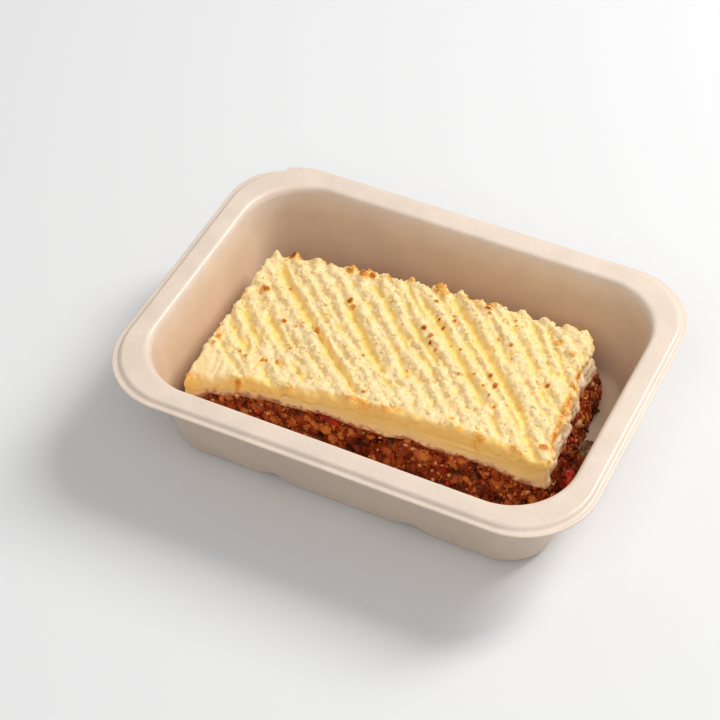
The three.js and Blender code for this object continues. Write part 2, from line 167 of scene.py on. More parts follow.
# Places where the oven has coloured the mash: x, y, radius and how dark.
TOASTED_SPOTS = (
    (-57.7, 36.3, 2.4, 0.95), (-55.0, 35.6, 2.2, 0.5), (-71.0, 15.6, 2.2, 0.95),
    (-69.5, 12.5, 2.2, 0.55), (-60.2, 15.4, 1.9, 0.92), (-61.6, 15.8, 2.2, 0.55),
    (-68.7, 24.9, 1.9, 0.65), (-71.4, 8.1, 2.0, 0.7), (-70.6, 4.8, 1.5, 0.55), (-52.2, 19.3, 1.1, 0.8),
    (-27.9, 20.1, 1.4, 0.98), (-25.9, 17.6, 1.6, 0.6), (-27.8, 34.0, 2.2, 0.8), (-24.9, 35.3, 2.0, 0.75),
    (-26.2, 38.0, 1.8, 0.6), (-33.7, 35.4, 2.2, 0.6), (-18.4, 36.8, 2.0, 0.6), (-9.2, 38.0, 2.4, 0.5),
    (-70.7, -8.9, 1.9, 0.65), (-68.2, -12.2, 1.7, 0.6), (-47.2, 1.9, 1.2, 0.85), (-42.2, 1.1, 1.0, 0.65),
    (-40.2, 2.9, 1.0, 0.65), (-39.7, -9.9, 1.1, 0.65), (-47.4, -18.6, 1.0, 0.85),
    (-46.0, -18.4, 0.9, 0.85), (-53.9, -18.9, 0.9, 0.8), (-56.9, -17.4, 0.7, 0.85),
    (-41.7, -17.6, 1.4, 0.7), (-5.9, -22.6, 1.1, 0.85), (-34.2, 2.1, 1.7, 0.6),
    (-68.2, -15.9, 1.1, 0.65), (-51.9, -31.4, 1.6, 0.65), (-12.7, 24.6, 0.7, 0.75),
    (-4.9, 14.9, 0.8, 0.85), (-13.2, -4.4, 0.8, 0.88), (2.4, 36.6, 3.0, 0.62), (4.6, 34.6, 2.0, 0.5),
    (3.2, 29.6, 1.1, 0.92), (12.7, 23.1, 1.1, 0.9), (11.7, 25.4, 0.7, 0.8), (7.2, 22.1, 0.8, 0.9),
    (6.0, 23.6, 0.6, 0.8), (9.7, 19.1, 0.9, 0.9), (3.4, 15.4, 1.1, 1.0), (7.4, 12.1, 1.1, 0.85),
    (8.2, 9.4, 0.8, 1.0), (11.2, 6.6, 0.9, 0.7), (15.4, 11.4, 0.7, 0.75), (19.7, 10.4, 0.9, 0.8),
    (21.9, 35.6, 1.1, 0.95), (22.7, 32.9, 1.3, 1.0), (23.9, 30.6, 1.0, 0.9), (36.4, 18.4, 1.0, 0.85),
    (31.2, 20.6, 0.7, 0.8), (34.1, 31.3, 0.6, 0.9), (36.9, 29.3, 0.7, 0.95), (35.2, 29.1, 0.5, 0.9),
    (36.0, 31.9, 0.5, 0.85), (23.2, -2.6, 0.9, 0.75), (28.7, -0.2, 0.7, 0.8), (33.4, -4.4, 0.8, 0.8),
    (34.4, 1.1, 1.1, 0.85), (37.5, -2.7, 1.1, 0.85), (36.9, -7.9, 0.8, 0.75), (39.8, -12.4, 1.1, 0.85),
    (54.7, 5.1, 1.1, 0.9), (51.5, 5.0, 1.3, 0.55), (4.4, -5.9, 0.6, 0.85), (16.2, -8.4, 0.8, 0.7),
    (62.6, -23.4, 1.9, 0.75), (64.8, -20.4, 1.8, 0.55), (52.1, 26.9, 1.7, 0.5), (58.9, 23.1, 1.7, 0.45),
    (56.9, 35.8, 1.6, 0.65), (28.0, -23.4, 1.4, 0.5),
)


# In the noises below the last number is a seed, so that each run gives the same shapes.


def mix(a, b, share):
    return a + (b - a) * share


def smooth_step(low, high, value):
    """0 below low, 1 above high and a smooth rise between them."""
    share = np.clip((value - low) / (high - low), 0, 1)
    return share * share * (3 - 2 * share)


def bell(distance):
    """1 at no distance, and almost 0 from a distance of 2."""
    return np.exp(-(distance ** 2))


def highest(values):
    """The largest of several values at each place."""
    return functools.reduce(np.maximum, values)


def flat_points(x, y):
    return np.column_stack([x, y, np.zeros(len(x))])


def cell_value(cells, seed):
    """A repeatable random number between 0 and 1 for each whole-numbered cell."""
    key = cells.astype(np.int64) @ np.array([73856093, 19349663, 83492791]) + seed * 15485863
    key = ((key ^ (key >> 13)) * 1274126177) & 0x7FFFFFFF
    key = ((key ^ (key >> 15)) * 668265263) & 0x7FFFFFFF
    return ((key >> 7) & 0xFFFF) / 0xFFFF


def soft_noise(points, size, seed):
    """Smooth noise between -1 and 1 at each point, with features of the given size."""
    places = points / size
    cell = np.floor(places)
    fade = smooth_step(0, 1, places - cell)
    total = np.zeros(len(points))
    for corner in itertools.product((0, 1), repeat=3):
        total += np.prod(np.where(corner, fade, 1 - fade), axis=1) * cell_value(cell + corner, seed)
    return 2 * total - 1


def packed_lumps(points, size, seed):
    """Rounded lumps packed side by side: 1 on the crown of a lump, 0 in the gap beside it."""
    places = points / size
    nearest = 1.0
    for step in itertools.product((-1, 0, 1), repeat=3):
        there = np.floor(places) + step
        centre = there + np.stack([cell_value(there, seed + axis) for axis in range(3)], axis=1)
        nearest = np.minimum(nearest, ((centre - places) ** 2).sum(axis=1))
    return 1 - nearest


def slab_plan(along, across):
    """Places in the slab's plan for shares along its length and across its width."""
    s, t = along[:, None], across[:, None]

    def side(name, start, end, share, turn):
        run = end - start
        outward = turn * np.array([run[1], -run[0]]) / np.hypot(*run)
        return start + run * share + outward * (SIDE_BOW[name] * np.sin(math.pi * share))

    ends = ((1 - t) * side("front", FRONT_LEFT, FRONT_RIGHT, s, 1)
            + t * side("back", BACK_LEFT, BACK_RIGHT, s, -1)
            + (1 - s) * side("left", FRONT_LEFT, BACK_LEFT, t, -1)
            + s * side("right", FRONT_RIGHT, BACK_RIGHT, t, 1))
    plan = ends - ((1 - s) * (1 - t) * FRONT_LEFT + s * (1 - t) * FRONT_RIGHT
                   + s * t * BACK_RIGHT + (1 - s) * t * BACK_LEFT)
    for corner in (FRONT_LEFT, FRONT_RIGHT, BACK_RIGHT, BACK_LEFT):
        away = np.linalg.norm(plan - corner, axis=1)[:, None]
        plan = plan - corner / np.linalg.norm(corner) * CORNER_PULL * bell(away / CORNER_REACH)
    return plan


def share_of_front(x):
    return (x - FRONT_LEFT[0]) / (FRONT_RIGHT[0] - FRONT_LEFT[0])


def boundary_height(x):
    """Height at which the mash meets the mince."""
    return np.interp(x, BOUNDARY_PLACES, BOUNDARY_HEIGHTS)


FRAME_TURN = np.array([[math.cos(SLAB_TURN), math.sin(SLAB_TURN), 0],
                       [-math.sin(SLAB_TURN), math.cos(SLAB_TURN), 0],
                       [0, 0, 1]])


def to_frame(points):
    """Millimetres in the slab's axes as metres in the frame's."""
    return points @ FRAME_TURN * MM


def rim_of_grid(columns, rows):
    """Indices of a grid's outer points, anticlockwise from its front left corner."""
    grid = np.arange((rows + 1) * (columns + 1)).reshape(rows + 1, columns + 1)
    return np.concatenate([grid[0, :-1], grid[:-1, -1], grid[-1, :0:-1], grid[:0:-1, 0]])


def rim_normals(rim):
    """Outward directions in plan at the points of a closed anticlockwise rim."""
    run = np.roll(rim, -1, axis=0) - np.roll(rim, 1, axis=0)
    outward = np.stack([run[:, 1], -run[:, 0]], axis=1)
    return outward / np.linalg.norm(outward, axis=1)[:, None]


def wall_quads(upper, lower):
    """Faces between two rings of point indices, facing outwards."""
    return np.stack([lower, np.roll(lower, -1), np.roll(upper, -1), upper], axis=1)


def point_normals(points, quads):
    """Normals at the points of a surface of quads."""
    facing = np.cross(points[quads[:, 2]] - points[quads[:, 0]], points[quads[:, 3]] - points[quads[:, 1]])
    normals = np.zeros_like(points)
    for corner in range(4):
        np.add.at(normals, quads[:, corner], facing)
    return normals / np.maximum(np.linalg.norm(normals, axis=1), 1e-9)[:, None]


def stroke_depths(x, y, strokes, wander):
    """Depth of the deepest stroke at each place."""
    deepest = np.zeros(len(x))
    for start_x, start_y, end_x, end_y, bow, width, depth in strokes:
        run = np.array([end_x - start_x, end_y - start_y])
        length = np.hypot(*run)
        ahead = run / length
        along = (x - start_x) * ahead[0] + (y - start_y) * ahead[1]
        share = along / length
        aside = -(x - start_x) * ahead[1] + (y - start_y) * ahead[0]
        aside = aside - bow * 4 * share * (1 - share) + wander
        ends = smooth_step(-2.5, 3.5, along) * smooth_step(-2.5, 3.5, length - along)
        deepest = np.maximum(deepest, depth * bell(aside / (0.45 + 0.40 * width)) * ends)
    return deepest


# ---- making meshes and materials


def placed(name, data):
    """A new object in the scene."""
    item = bpy.data.objects.new(name, data)
    bpy.context.scene.collection.objects.link(item)
    return item


def write_fields(mesh, fields):
    """Gives a mesh's points one number for each field."""
    for name, values in fields.items():
        attribute = mesh.attributes.get(name) or mesh.attributes.new(name, "FLOAT", "POINT")
        attribute.data.foreach_set("value", np.asarray(values, np.float32))


def mesh_piece(name, points, faces, material, fields):
    """A smooth-shaded piece, from points in metres."""
    mesh = bpy.data.meshes.new(name)
    mesh.from_pydata(points.tolist(), [], faces)
    mesh.validate()
    mesh.shade_smooth()
    write_fields(mesh, fields)
    mesh.materials.append(material)
    return placed(name, mesh)


def point_places(piece):
    """A piece's points in millimetres."""
    places = np.zeros(len(piece.data.vertices) * 3, np.float32)
    piece.data.vertices.foreach_get("co", places)
    return places.reshape(-1, 3) / MM


def unit_ball(columns, rows):
    """Points and faces of a closed ball of radius 1, to be pulled into a lump."""
    points = [[0.0, 0.0, 1.0]]
    for row, column in itertools.product(range(1, rows), range(columns)):
        tilt = math.pi * row / rows
        turn = math.tau * column / columns
        points.append([math.sin(tilt) * math.cos(turn), math.sin(tilt) * math.sin(turn), math.cos(tilt)])
    points.append([0.0, 0.0, -1.0])
    ring = [(k, (k + 1) % columns) for k in range(columns)]
    starts = [1 + row * columns for row in range(rows - 1)]
    faces = [[0, 1 + a, 1 + b] for a, b in ring]
    for upper, lower in zip(starts, starts[1:]):
        faces += [[upper + a, lower + a, lower + b, upper + b] for a, b in ring]
    faces += [[len(points) - 1, starts[-1] + b, starts[-1] + a] for a, b in ring]
    return np.array(points), faces


def settle(piece, slot, *nodes):
    """Puts a finished piece on the frame, in place of the given CAD nodes."""
    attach(piece, "root")
    if nodes:
        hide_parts(*nodes)


def feed(tree, socket, value):
    """Links a socket to another one or sets its value. Colours are made opaque."""
    if isinstance(value, bpy.types.NodeSocket):
        tree.links.new(value, socket)
    else:
        socket.default_value = (*value[:3], 1.0) if socket.type == "RGBA" else value


def add_node(tree, kind, inputs=None, **settings):
    node = tree.nodes.new(kind)
    for key, value in settings.items():
        setattr(node, key, value)
    for key, value in (inputs or {}).items():
        feed(tree, node.inputs[key], value)
    return node


class Finish:
    """A material that is built up node by node."""

    def __init__(self, name):
        self.material = bpy.data.materials.new(name)
        self.material.use_nodes = True
        self.tree = self.material.node_tree
        self.add = functools.partial(add_node, self.tree)
        self.place = self.add("ShaderNodeTexCoord").outputs["Object"]

    def set(self, **values):
        """Sets the shader's own sockets, with _ for a space in the socket's name."""
        for key, value in values.items():
            feed(self.tree, self.tree.nodes["Principled BSDF"].inputs[key.replace("_", " ")], value)

    def noise(self, size_mm, detail=2.0, roughness=0.5):
        """Noise between 0 and 1 with features of the given size."""
        inputs = {"Vector": self.place, "Scale": 1 / (size_mm * MM), "Detail": detail, "Roughness": roughness}
        return self.add("ShaderNodeTexNoise", inputs).outputs["Fac"]

    def cells(self, size_mm, place=None, **settings):
        """The outputs of a pattern of cells of the given size."""
        inputs = {"Vector": place or self.place, "Scale": 1 / (size_mm * MM)}
        return self.add("ShaderNodeTexVoronoi", inputs, **settings).outputs

    def field(self, name):
        return self.add("ShaderNodeAttribute", attribute_name=name).outputs["Fac"]

    def math(self, operation, a, b, clamp=False):
        return self.add("ShaderNodeMath", {0: a, 1: b}, operation=operation, use_clamp=clamp).outputs[0]

    def product(self, *values):
        return functools.reduce(functools.partial(self.math, "MULTIPLY"), values)

    def span(self, value, low, high, to_low=0.0, to_high=1.0):
        """Takes low..high to to_low..to_high with soft ends."""
        inputs = {"Value": value, "From Min": low, "From Max": high, "To Min": to_low, "To Max": to_high}
        return self.add("ShaderNodeMapRange", inputs, interpolation_type="SMOOTHSTEP").outputs["Result"]

    def blend(self, share, a, b, blend_type="MIX"):
        inputs = {"Factor": share, "A": a, "B": b}
        return self.add("ShaderNodeMix", inputs, data_type="RGBA", blend_type=blend_type).outputs["Result"]

    def cover(self, under, colour, value, *span):
        """Lays a colour over another as far as a value's span says."""
        return self.blend(self.span(value, *span), under, colour)

    def ramp(self, value, *stops):
        """Colour stops as (place, colour)."""
        node = self.add("ShaderNodeValToRGB", {"Fac": value})
        elements = node.color_ramp.elements
        while len(elements) < len(stops):
            elements.new(0.5)
        for element, (place, colour) in zip(elements, stops):
            element.position = place
            element.color = (*colour, 1.0)
        return node.outputs["Color"]

    def bumps(self, *layers):
        """The normal over several layers of (height, depth in mm)."""
        inputs = {"Strength": 1.0}
        for height, depth_mm in layers:
            inputs.update({"Height": height, "Distance": depth_mm * MM})
            inputs["Normal"] = self.add("ShaderNodeBump", inputs).outputs["Normal"]
        return inputs["Normal"]


def tinted(colour, share):
    """The colour, lighter or darker by a share."""
    return tuple(min(1.0, channel * share) for channel in colour)


# ---- scattering with Geometry Nodes

SCATTER_INPUTS = (
    ("Surface", "Geometry", None),
    ("Density", "Float", 1.0),
    ("Seed", "Int", 0),
    ("Smallest", "Float", 0.0005),
    ("Largest", "Float", 0.001),
    ("Stretch", "Float", 0.3),
    ("Lift", "Float", 0.0),
    ("Unevenness", "Float", 0.3),
    ("Segments", "Int", 8),
    ("Rings", "Int", 5),
    ("Finish", "Material", None),
)
LUMP_WAVES = 2.2  # waves over the largest lump's size that make the lumps uneven


def scatter_tree():
    """Geometry Nodes that scatter uneven lumps over a surface, most where it says crumble."""
    tree = bpy.data.node_groups.new("Scatter lumps", "GeometryNodeTree")
    for name, kind, default in SCATTER_INPUTS:
        socket = tree.interface.new_socket(name, in_out="INPUT", socket_type="NodeSocket" + kind)
        if default is not None:
            socket.default_value = default
    tree.interface.new_socket("Lumps", in_out="OUTPUT", socket_type="NodeSocketGeometry")
    add = functools.partial(add_node, tree)

    def calculate(operation, a, b):
        return add("ShaderNodeMath", {0: a, 1: b}, operation=operation).outputs[0]

    def scaled(vector, amount):
        return add("ShaderNodeVectorMath", {0: vector, "Scale": amount}, operation="SCALE").outputs[0]

    def combined(values):
        return add("ShaderNodeCombineXYZ", dict(zip("XYZ", values))).outputs[0]

    def random_number(low, high, seed_step):
        seed = calculate("ADD", given["Seed"], float(seed_step))
        node = add("FunctionNodeRandomValue", {"Seed": seed}, data_type="FLOAT")
        for socket, value in zip([s for s in node.inputs if s.enabled], (low, high)):
            feed(tree, socket, value)
        return [s for s in node.outputs if s.enabled][0]

    given = add("NodeGroupInput").outputs
    crumble = add("GeometryNodeInputNamedAttribute", {"Name": "crumble"}, data_type="FLOAT")
    density = calculate("MULTIPLY", given["Density"], crumble.outputs["Attribute"])
    points = add("GeometryNodeDistributePointsOnFaces",
                 {"Mesh": given["Surface"], "Density": density, "Seed": given["Seed"]}).outputs
    spread = calculate("SUBTRACT", given["Largest"], given["Smallest"])
    share = calculate("POWER", random_number(0.0, 1.0, 1), 2.0)
    size = calculate("ADD", calculate("MULTIPLY", spread, share), given["Smallest"])
    stretches = []
    for step in (2, 3, 4):
        change = calculate("MULTIPLY", random_number(-1.0, 1.0, step), given["Stretch"])
        stretches.append(calculate("MULTIPLY", size, calculate("ADD", change, 1.0)))
    turns = combined(random_number(0.0, math.tau, step) for step in (5, 6, 7))
    rotation = add("FunctionNodeEulerToRotation", {"Euler": turns}).outputs[0]
    lift = scaled(points["Normal"], calculate("MULTIPLY", size, given["Lift"]))
    raised = add("GeometryNodeSetPosition", {"Geometry": points["Points"], "Offset": lift})
    lump = add("GeometryNodeMeshUVSphere",
               {"Segments": given["Segments"], "Rings": given["Rings"], "Radius": 0.5})
    lumps = add("GeometryNodeInstanceOnPoints",
                {"Points": raised.outputs[0], "Instance": lump.outputs["Mesh"],
                 "Rotation": rotation, "Scale": combined(stretches)})
    lumps = add("GeometryNodeStoreNamedAttribute",
                {"Geometry": lumps.outputs[0], "Name": "tone", "Value": random_number(0.0, 1.0, 8)},
                data_type="FLOAT", domain="INSTANCE")
    lumps = add("GeometryNodeRealizeInstances", {"Geometry": lumps.outputs[0]})
    scale = calculate("DIVIDE", LUMP_WAVES, given["Largest"])
    waves = add("ShaderNodeTexNoise", {"Detail": 1.0, "Scale": scale}).outputs["Color"]
    shift = add("ShaderNodeVectorMath", {0: waves, 1: (0.5, 0.5, 0.5)}, operation="SUBTRACT").outputs[0]
    uneven = scaled(shift, calculate("MULTIPLY", given["Largest"], given["Unevenness"]))
    lumps = add("GeometryNodeSetPosition", {"Geometry": lumps.outputs[0], "Offset": uneven})
    lumps = add("GeometryNodeSetShadeSmooth", {"Geometry": lumps.outputs[0]})
    lumps = add("GeometryNodeSetMaterial", {"Geometry": lumps.outputs[0], "Material": given["Finish"]})
    add("NodeGroupOutput", {"Lumps": lumps.outputs[0]})
    return tree


def scattered(name, surface, material, density, seed, smallest, largest, stretch, lift, unevenness,
              segments=8, rings=5):
    """A plain mesh of lumps on a surface, with the density for each cm2 and the sizes in mm."""
    values = {"Density": density * PER_CM2, "Seed": seed, "Smallest": smallest * MM,
              "Largest": largest * MM, "Stretch": stretch, "Lift": lift, "Unevenness": unevenness,
              "Segments": segments, "Rings": rings, "Finish": material}
    carrier = placed(name + "_carrier", surface.data)
    modifier = carrier.modifiers.new("Scatter", "NODES")
    modifier.node_group = bpy.data.node_groups.get("Scatter lumps") or scatter_tree()
    for socket in modifier.node_group.interface.items_tree:
        if socket.name in values:
            modifier[socket.identifier] = values[socket.name]
    depsgraph = bpy.context.evaluated_depsgraph_get()
    mesh = bpy.data.meshes.new_from_object(carrier.evaluated_get(depsgraph),
                                           preserve_all_data_layers=True, depsgraph=depsgraph)
    if not mesh.polygons:
        raise RuntimeError(name + " has no lumps")
    mesh.name = name
    carrier.modifiers.clear()
    bpy.data.objects.remove(carrier)
    return placed(name, mesh)


# How far food keeps off the tray's inside, and how much more in the curve at its foot.
LUMPS_KEEP_OFF = (1.2, 3.5)
CORE_KEEPS_OFF = (1.5, 2.2)


def tray_inset(z, gap, rounding):
    """How far food in the tray keeps from the line of the flange's outer edge, at a height."""
    return (mix(FOOT_INSET, MOUTH_INSET, z / TRAY_SIZE.z) + gap
            + rounding * np.clip(1 - z / FOOT_RADIUS, 0, 1) ** 2)


def hold_in_tray(piece):
    """Flattens scattered lumps against the tray's floor and inside."""
    place = point_places(piece)
    place[:, 2] = np.maximum(place[:, 2], MINCE_FLOOR)
    inset = tray_inset(place[:, 2], *LUMPS_KEEP_OFF)
    for axis in (0, 1):
        limit = TRAY_SIZE[axis] / 2 - inset
        place[:, axis] = np.clip(place[:, axis], -limit, limit)
    piece.data.vertices.foreach_set("co", (place * MM).ravel())
    piece.data.update()
    return piece


def number_property(name, description, default, **more):
    return FloatProperty(name=name, description=description, default=default, **more)


def length_property(name, description, default):
    return number_property(name, description, default, subtype="DISTANCE", unit="LENGTH")


def colour_property(name, description, default):
    return FloatVectorProperty(name=name, description=description, default=default, subtype="COLOR",
                               size=3, min=0.0, max=1.0)


# ---- the tray


class FibreTraySettings(bpy.types.PropertyGroup):
    length: length_property("Length", "Over the flange", TRAY_SIZE.x * MM)
    width: length_property("Width", "Over the flange", TRAY_SIZE.y * MM)
    height: length_property("Height", "From the table to the flange's flat band", TRAY_SIZE.z * MM)
    wall: length_property("Wall", "Thickness of the moulded fibre", 0.00095)
    corner_radius: length_property("Corner radius", "Of the flange's outer edge", 0.0275)
    fibre_colour: colour_property("Fibre", "Colour of the moulded fibre", (0.82, 0.675, 0.55))
    speck_colour: colour_property("Specks", "Colour of stray dark fibres", (0.20, 0.11, 0.055))
    grain_depth: length_property("Grain", "Depth of the screen grain outside", 0.00014)


FOOT_INSET = 18.5
MOUTH_INSET = 9.9
BASE_CORNER_RADIUS = 16.5
MOUTH_RADIUS = 24.5
FOOT_RADIUS = 5.0
CHANNEL_CENTRE = 27.5
CHANNEL_HALF_WIDTH = 8.0
CHANNEL_HEIGHT = 2.3
CHANNEL_FADE = (1.2, 9.0)
STEP_INSET = 2.45
WALL_HEIGHTS = (10, 18, 26, 33)
CORNER_POINTS = 29
SIDE_POINTS = 68
ROWS_BELOW_MOUTH = 14
SCREEN_PITCH = 1.1
WARP = (0.22, 0.22, 0.16)  # how far the rim strays along each axis
CHIP_START = np.array([-80.3, 63.4])  # deep end of the chip in the ledge at the back left corner
CHIP_RUN = np.array([-0.764, -0.645])
CHIP_LENGTH = 11.0


def filleted(path, radius, steps=3):
    """The path with each inner corner rounded by a short curve."""
    path = np.array(path, float)
    rounded = [path[0]]
    for before, corner, after in zip(path[:-2], path[1:-1], path[2:]):
        back = before - corner
        ahead = after - corner
        reach = min(radius, 0.45 * np.hypot(*back), 0.45 * np.hypot(*ahead))
        start = corner + back / np.hypot(*back) * reach
        end = corner + ahead / np.hypot(*ahead) * reach
        for share in (step / steps for step in range(steps + 1)):
            rounded.append((1 - share) ** 2 * start + 2 * share * (1 - share) * corner + share ** 2 * end)
    return np.array([*rounded, path[-1]])


def tray_profile(height, wall):
    """Insets and heights up the outside, round the flange and down the inside."""
    def line(z):
        return mix(FOOT_INSET, MOUTH_INSET, z / height)

    top = height
    ledge = top - 1.45
    roll_foot = top - 2.3
    lean = math.atan((FOOT_INSET - MOUTH_INSET) / height)

    def foot(offset, radius):
        tangent = radius * math.tan((math.pi / 2 - lean) / 2)
        start = line(offset) + offset / math.cos(lean) + tangent
        angles = np.linspace(0, math.pi / 2 - lean, 9)
        return [(start - radius * math.sin(a), offset + radius * (1 - math.cos(a))) for a in angles]

    outside = foot(0, FOOT_RADIUS) + [(line(z), z) for z in (*WALL_HEIGHTS, roll_foot - 1.6)]
    under = [(9.6, top - 2.0), (8.5, top - 0.95), (3.1, top - 0.95), (2.1, ledge - 0.85), (0.0, ledge - 0.85)]
    over = [(0.0, ledge), (1.75, ledge + 0.08), (STEP_INSET, top - 0.45), (3.1, top - 0.05), (9.3, top)]
    roll = [(10.2, top - 0.3), (10.8, top - 1.05), (line(roll_foot) + wall, roll_foot)]
    inside = [(line(z) + wall, z) for z in WALL_HEIGHTS[::-1]]
    flange = filleted([outside[-1]] + under + over + roll + [inside[0]], 0.42)
    return np.array(outside[:-1] + flange.tolist() + inside[1:] + foot(wall, FOOT_RADIUS - wall)[::-1])


def plan_radius(inset, z, height, corner_radius):
    """Corner radius of the tray at an inset and height: the wall's below, the flange's above."""
    in_wall = mix(BASE_CORNER_RADIUS, MOUTH_RADIUS, min(z / height, 1))
    in_flange = mix(corner_radius, MOUTH_RADIUS, min(inset / MOUTH_INSET, 1))
    return mix(in_wall, in_flange, smooth_step(height - 6, height - 3, z))


def tray_ring(inset, z, radius, length, width):
    """One rounded rectangle of the tray, anticlockwise from the right end of its back."""
    half_x = length / 2 - inset
    half_y = width / 2 - inset
    angles = np.linspace(0, math.pi / 2, CORNER_POINTS)
    corner = np.column_stack([half_x - radius * (1 - np.cos(angles)), half_y - radius * (1 - np.sin(angles))])
    reach = CHANNEL_CENTRE + CHANNEL_HALF_WIDTH + 4
    straight = np.column_stack([np.linspace(reach, -reach, SIDE_POINTS), np.full(SIDE_POINTS, half_y)])
    back = np.concatenate([corner, straight, corner[::-1] * (-1, 1)])
    ring = np.concatenate([back, back[::-1] * (1, -1)])
    across = np.abs(np.abs(ring[:, 0]) - CHANNEL_CENTRE) / CHANNEL_HALF_WIDTH
    swell = 0.5 * (1 + np.cos(math.pi * np.minimum(across, 1)))
    return np.column_stack([ring, z + CHANNEL_HEIGHT * swell * (1 - smooth_step(*CHANNEL_FADE, z))])


def unevenness(points, insets, height):
    """Slight waves in the tray's flange and walls, and the chip in its ledge."""
    rise = smooth_step(6, height, points[:, 2])
    shift = np.stack([amount * rise * soft_noise(points, 34, seed)
                      for seed, amount in enumerate(WARP, 3)], axis=1)
    from_start = points[:, :2] - CHIP_START
    along = from_start @ CHIP_RUN
    near = np.linalg.norm(from_start - along[:, None] * CHIP_RUN, axis=1) < 7
    bite = mix(0.95, 0.15, along / CHIP_LENGTH) * smooth_step(-0.8, 0.2, along)
    bite = bite * near * (1 - smooth_step(CHIP_LENGTH - 1, CHIP_LENGTH, along))
    ledge = np.clip(STEP_INSET - insets, 0, None) * (points[:, 2] > height / 2)
    inward = -points[:, :2] / np.linalg.norm(points[:, :2], axis=1)[:, None]
    shift[:, :2] += inward * (bite * ledge)[:, None]
    return shift


def fibre_finish(settings):
    """Matt pressed fibre: faint clouding, stray dark fibres and a screen grain outside, with painted shade in
    the grain's hollows and on the outside, and painted warm shade inside.
    """
    look = Finish("moulded_fibre")
    colour = settings.fibre_colour
    cloud = look.noise(14, detail=3)
    grain = look.noise(0.9, detail=3)
    base = look.cover(tinted(colour, 0.96), tinted(colour, 1.03), cloud, 0.3, 0.7)
    base = look.cover(base, tinted(colour, 0.78), grain, 0.35, 0.7, 0.0, 0.22)
    stretched = look.add("ShaderNodeMapping", {"Vector": look.place, "Scale": (1.0, 1.0, 0.35)})
    fibres = look.span(look.cells(5.5, stretched.outputs[0])["Distance"], 0.022, 0.045, 1.0, 0.0)
    rare = look.math("GREATER_THAN", look.noise(9, detail=0), 0.52)
    base = look.blend(look.product(fibres, rare, 0.55), base, settings.speck_colour)
    outside = look.field("outside")
    # Painted warm shade: the inside walls are darkened and warmed, as light bounced from the food would do.
    base = look.blend(look.field("inside"), base, (1.0, 0.92, 0.80), "MULTIPLY")
    # Painted shade: the outside wall, up to the flange's edge, is a touch darker.
    base = look.blend(outside, base, (0.96, 0.935, 0.91), "MULTIPLY")
    parts = look.add("ShaderNodeSeparateXYZ", {"Vector": look.place}).outputs
    wires = [look.math("SINE", look.product(along, math.tau / (SCREEN_PITCH * MM)), 0.0)
             for along in (look.math("ADD", parts["X"], parts["Y"]), parts["Z"])]
    screen = look.product(*wires, outside)
    # Painted shade in the screen grain's hollows, the low places of its bump.
    base = look.cover(base, tinted(colour, 0.5), screen, -0.8, -0.1, 0.26, 0.0)
    normal = look.bumps((screen, settings.grain_depth / MM), (grain, 0.05), (look.noise(6, detail=1), 0.12))
    look.set(Base_Color=base, Roughness=look.span(cloud, 0.2, 0.8, 0.42, 0.52), Normal=normal,
             Specular_IOR_Level=0.45, Coat_Weight=0.45, Coat_Roughness=0.24)
    return look.material


class PIE_OT_tray(bpy.types.Operator):
    """Makes the moulded fibre tray with its stepped flange and base channels"""

    bl_idname = "pie.tray"
    bl_label = "Fibre tray"

    def execute(self, context):
        settings = context.scene.fibre_tray
        length, width, height, wall, corner_radius = (getattr(settings, name) / MM for name in (
            "length", "width", "height", "wall", "corner_radius"))
        profile = tray_profile(height, wall)
        rings = [tray_ring(inset, z, plan_radius(inset, z, height, corner_radius), length, width)
                 for inset, z in profile]
        count = len(rings[0])
        points = np.concatenate(rings)
        points = points + unevenness(points, np.repeat(profile[:, 0], count), height)
        order = np.arange(count)
        faces = []
        for ring in range(len(rings) - 1):
            faces.extend(wall_quads(order + (ring + 1) * count, order + ring * count).tolist())
        last = (len(rings) - 1) * count
        for k in range(count // 2 - 1):
            a, b, c, d = k, k + 1, count - 2 - k, count - 1 - k
            faces += [[a, d, c, b], [last + a, last + b, last + c, last + d]]
        place = np.repeat(np.arange(len(rings)), count)
        fields = {"outside": place < np.argmin(profile[:, 0]),
                  "inside": place > len(rings) - ROWS_BELOW_MOUTH}
        tray = mesh_piece("tray_shell", points * MM, faces, fibre_finish(settings), fields)
        settle(tray, "moulded_fibre", "tray")
        return {"FINISHED"}


# ---- the mash


class MashSettings(bpy.types.PropertyGroup):
    grid: length_property("Grid", "Spacing of the surface's points", 0.00046)
    end_height: length_property("End height", "Height of the ridges at the slab's two ends", 0.0300)
    crown: length_property("Crown", "How much higher the middle of the length stands", 0.0030)
    furrow_scale: number_property("Furrow depth", "Multiplies the fork strokes' depth", 1.0, min=0.0, max=2.0)
    ridge_colour: colour_property("Ridges", "Mash on the crests", (0.95, 0.71, 0.37))
    # The furrow colour is partly the furrows' own golden tone and partly painted shade; it also fills the
    # gaps between lumps.
    furrow_and_shade_colour: colour_property("Furrows", "Mash in the smooth furrows", (0.96, 0.655, 0.185))
    band_colour: colour_property("Band", "Golden mash along the cut's upper edge", (1.0, 0.63, 0.195))
    cut_colour: colour_property("Cut", "Mash on the cut front", (1.0, 0.68, 0.24))
    torn_colour: colour_property("Torn", "Mash on the torn right side", (0.93, 0.735, 0.50))
    golden_colour: colour_property("Golden", "Lightly toasted mash", (0.86, 0.43, 0.07))
    brown_colour: colour_property("Brown", "Well toasted mash", (0.60, 0.19, 0.022))
    scorch_colour: colour_property("Scorched", "Scorched tips", (0.24, 0.060, 0.012))
    foot_colour: colour_property("Foot", "Lowest mash of the cut front", (0.95, 0.68, 0.42))
    stain_colour: colour_property("Stain", "Sauce soaked into the mash's foot", (0.42, 0.145, 0.075))
    crumb_density: number_property("Crumbs", "Loose crumbs for each square centimetre", 21.0, min=0.0)


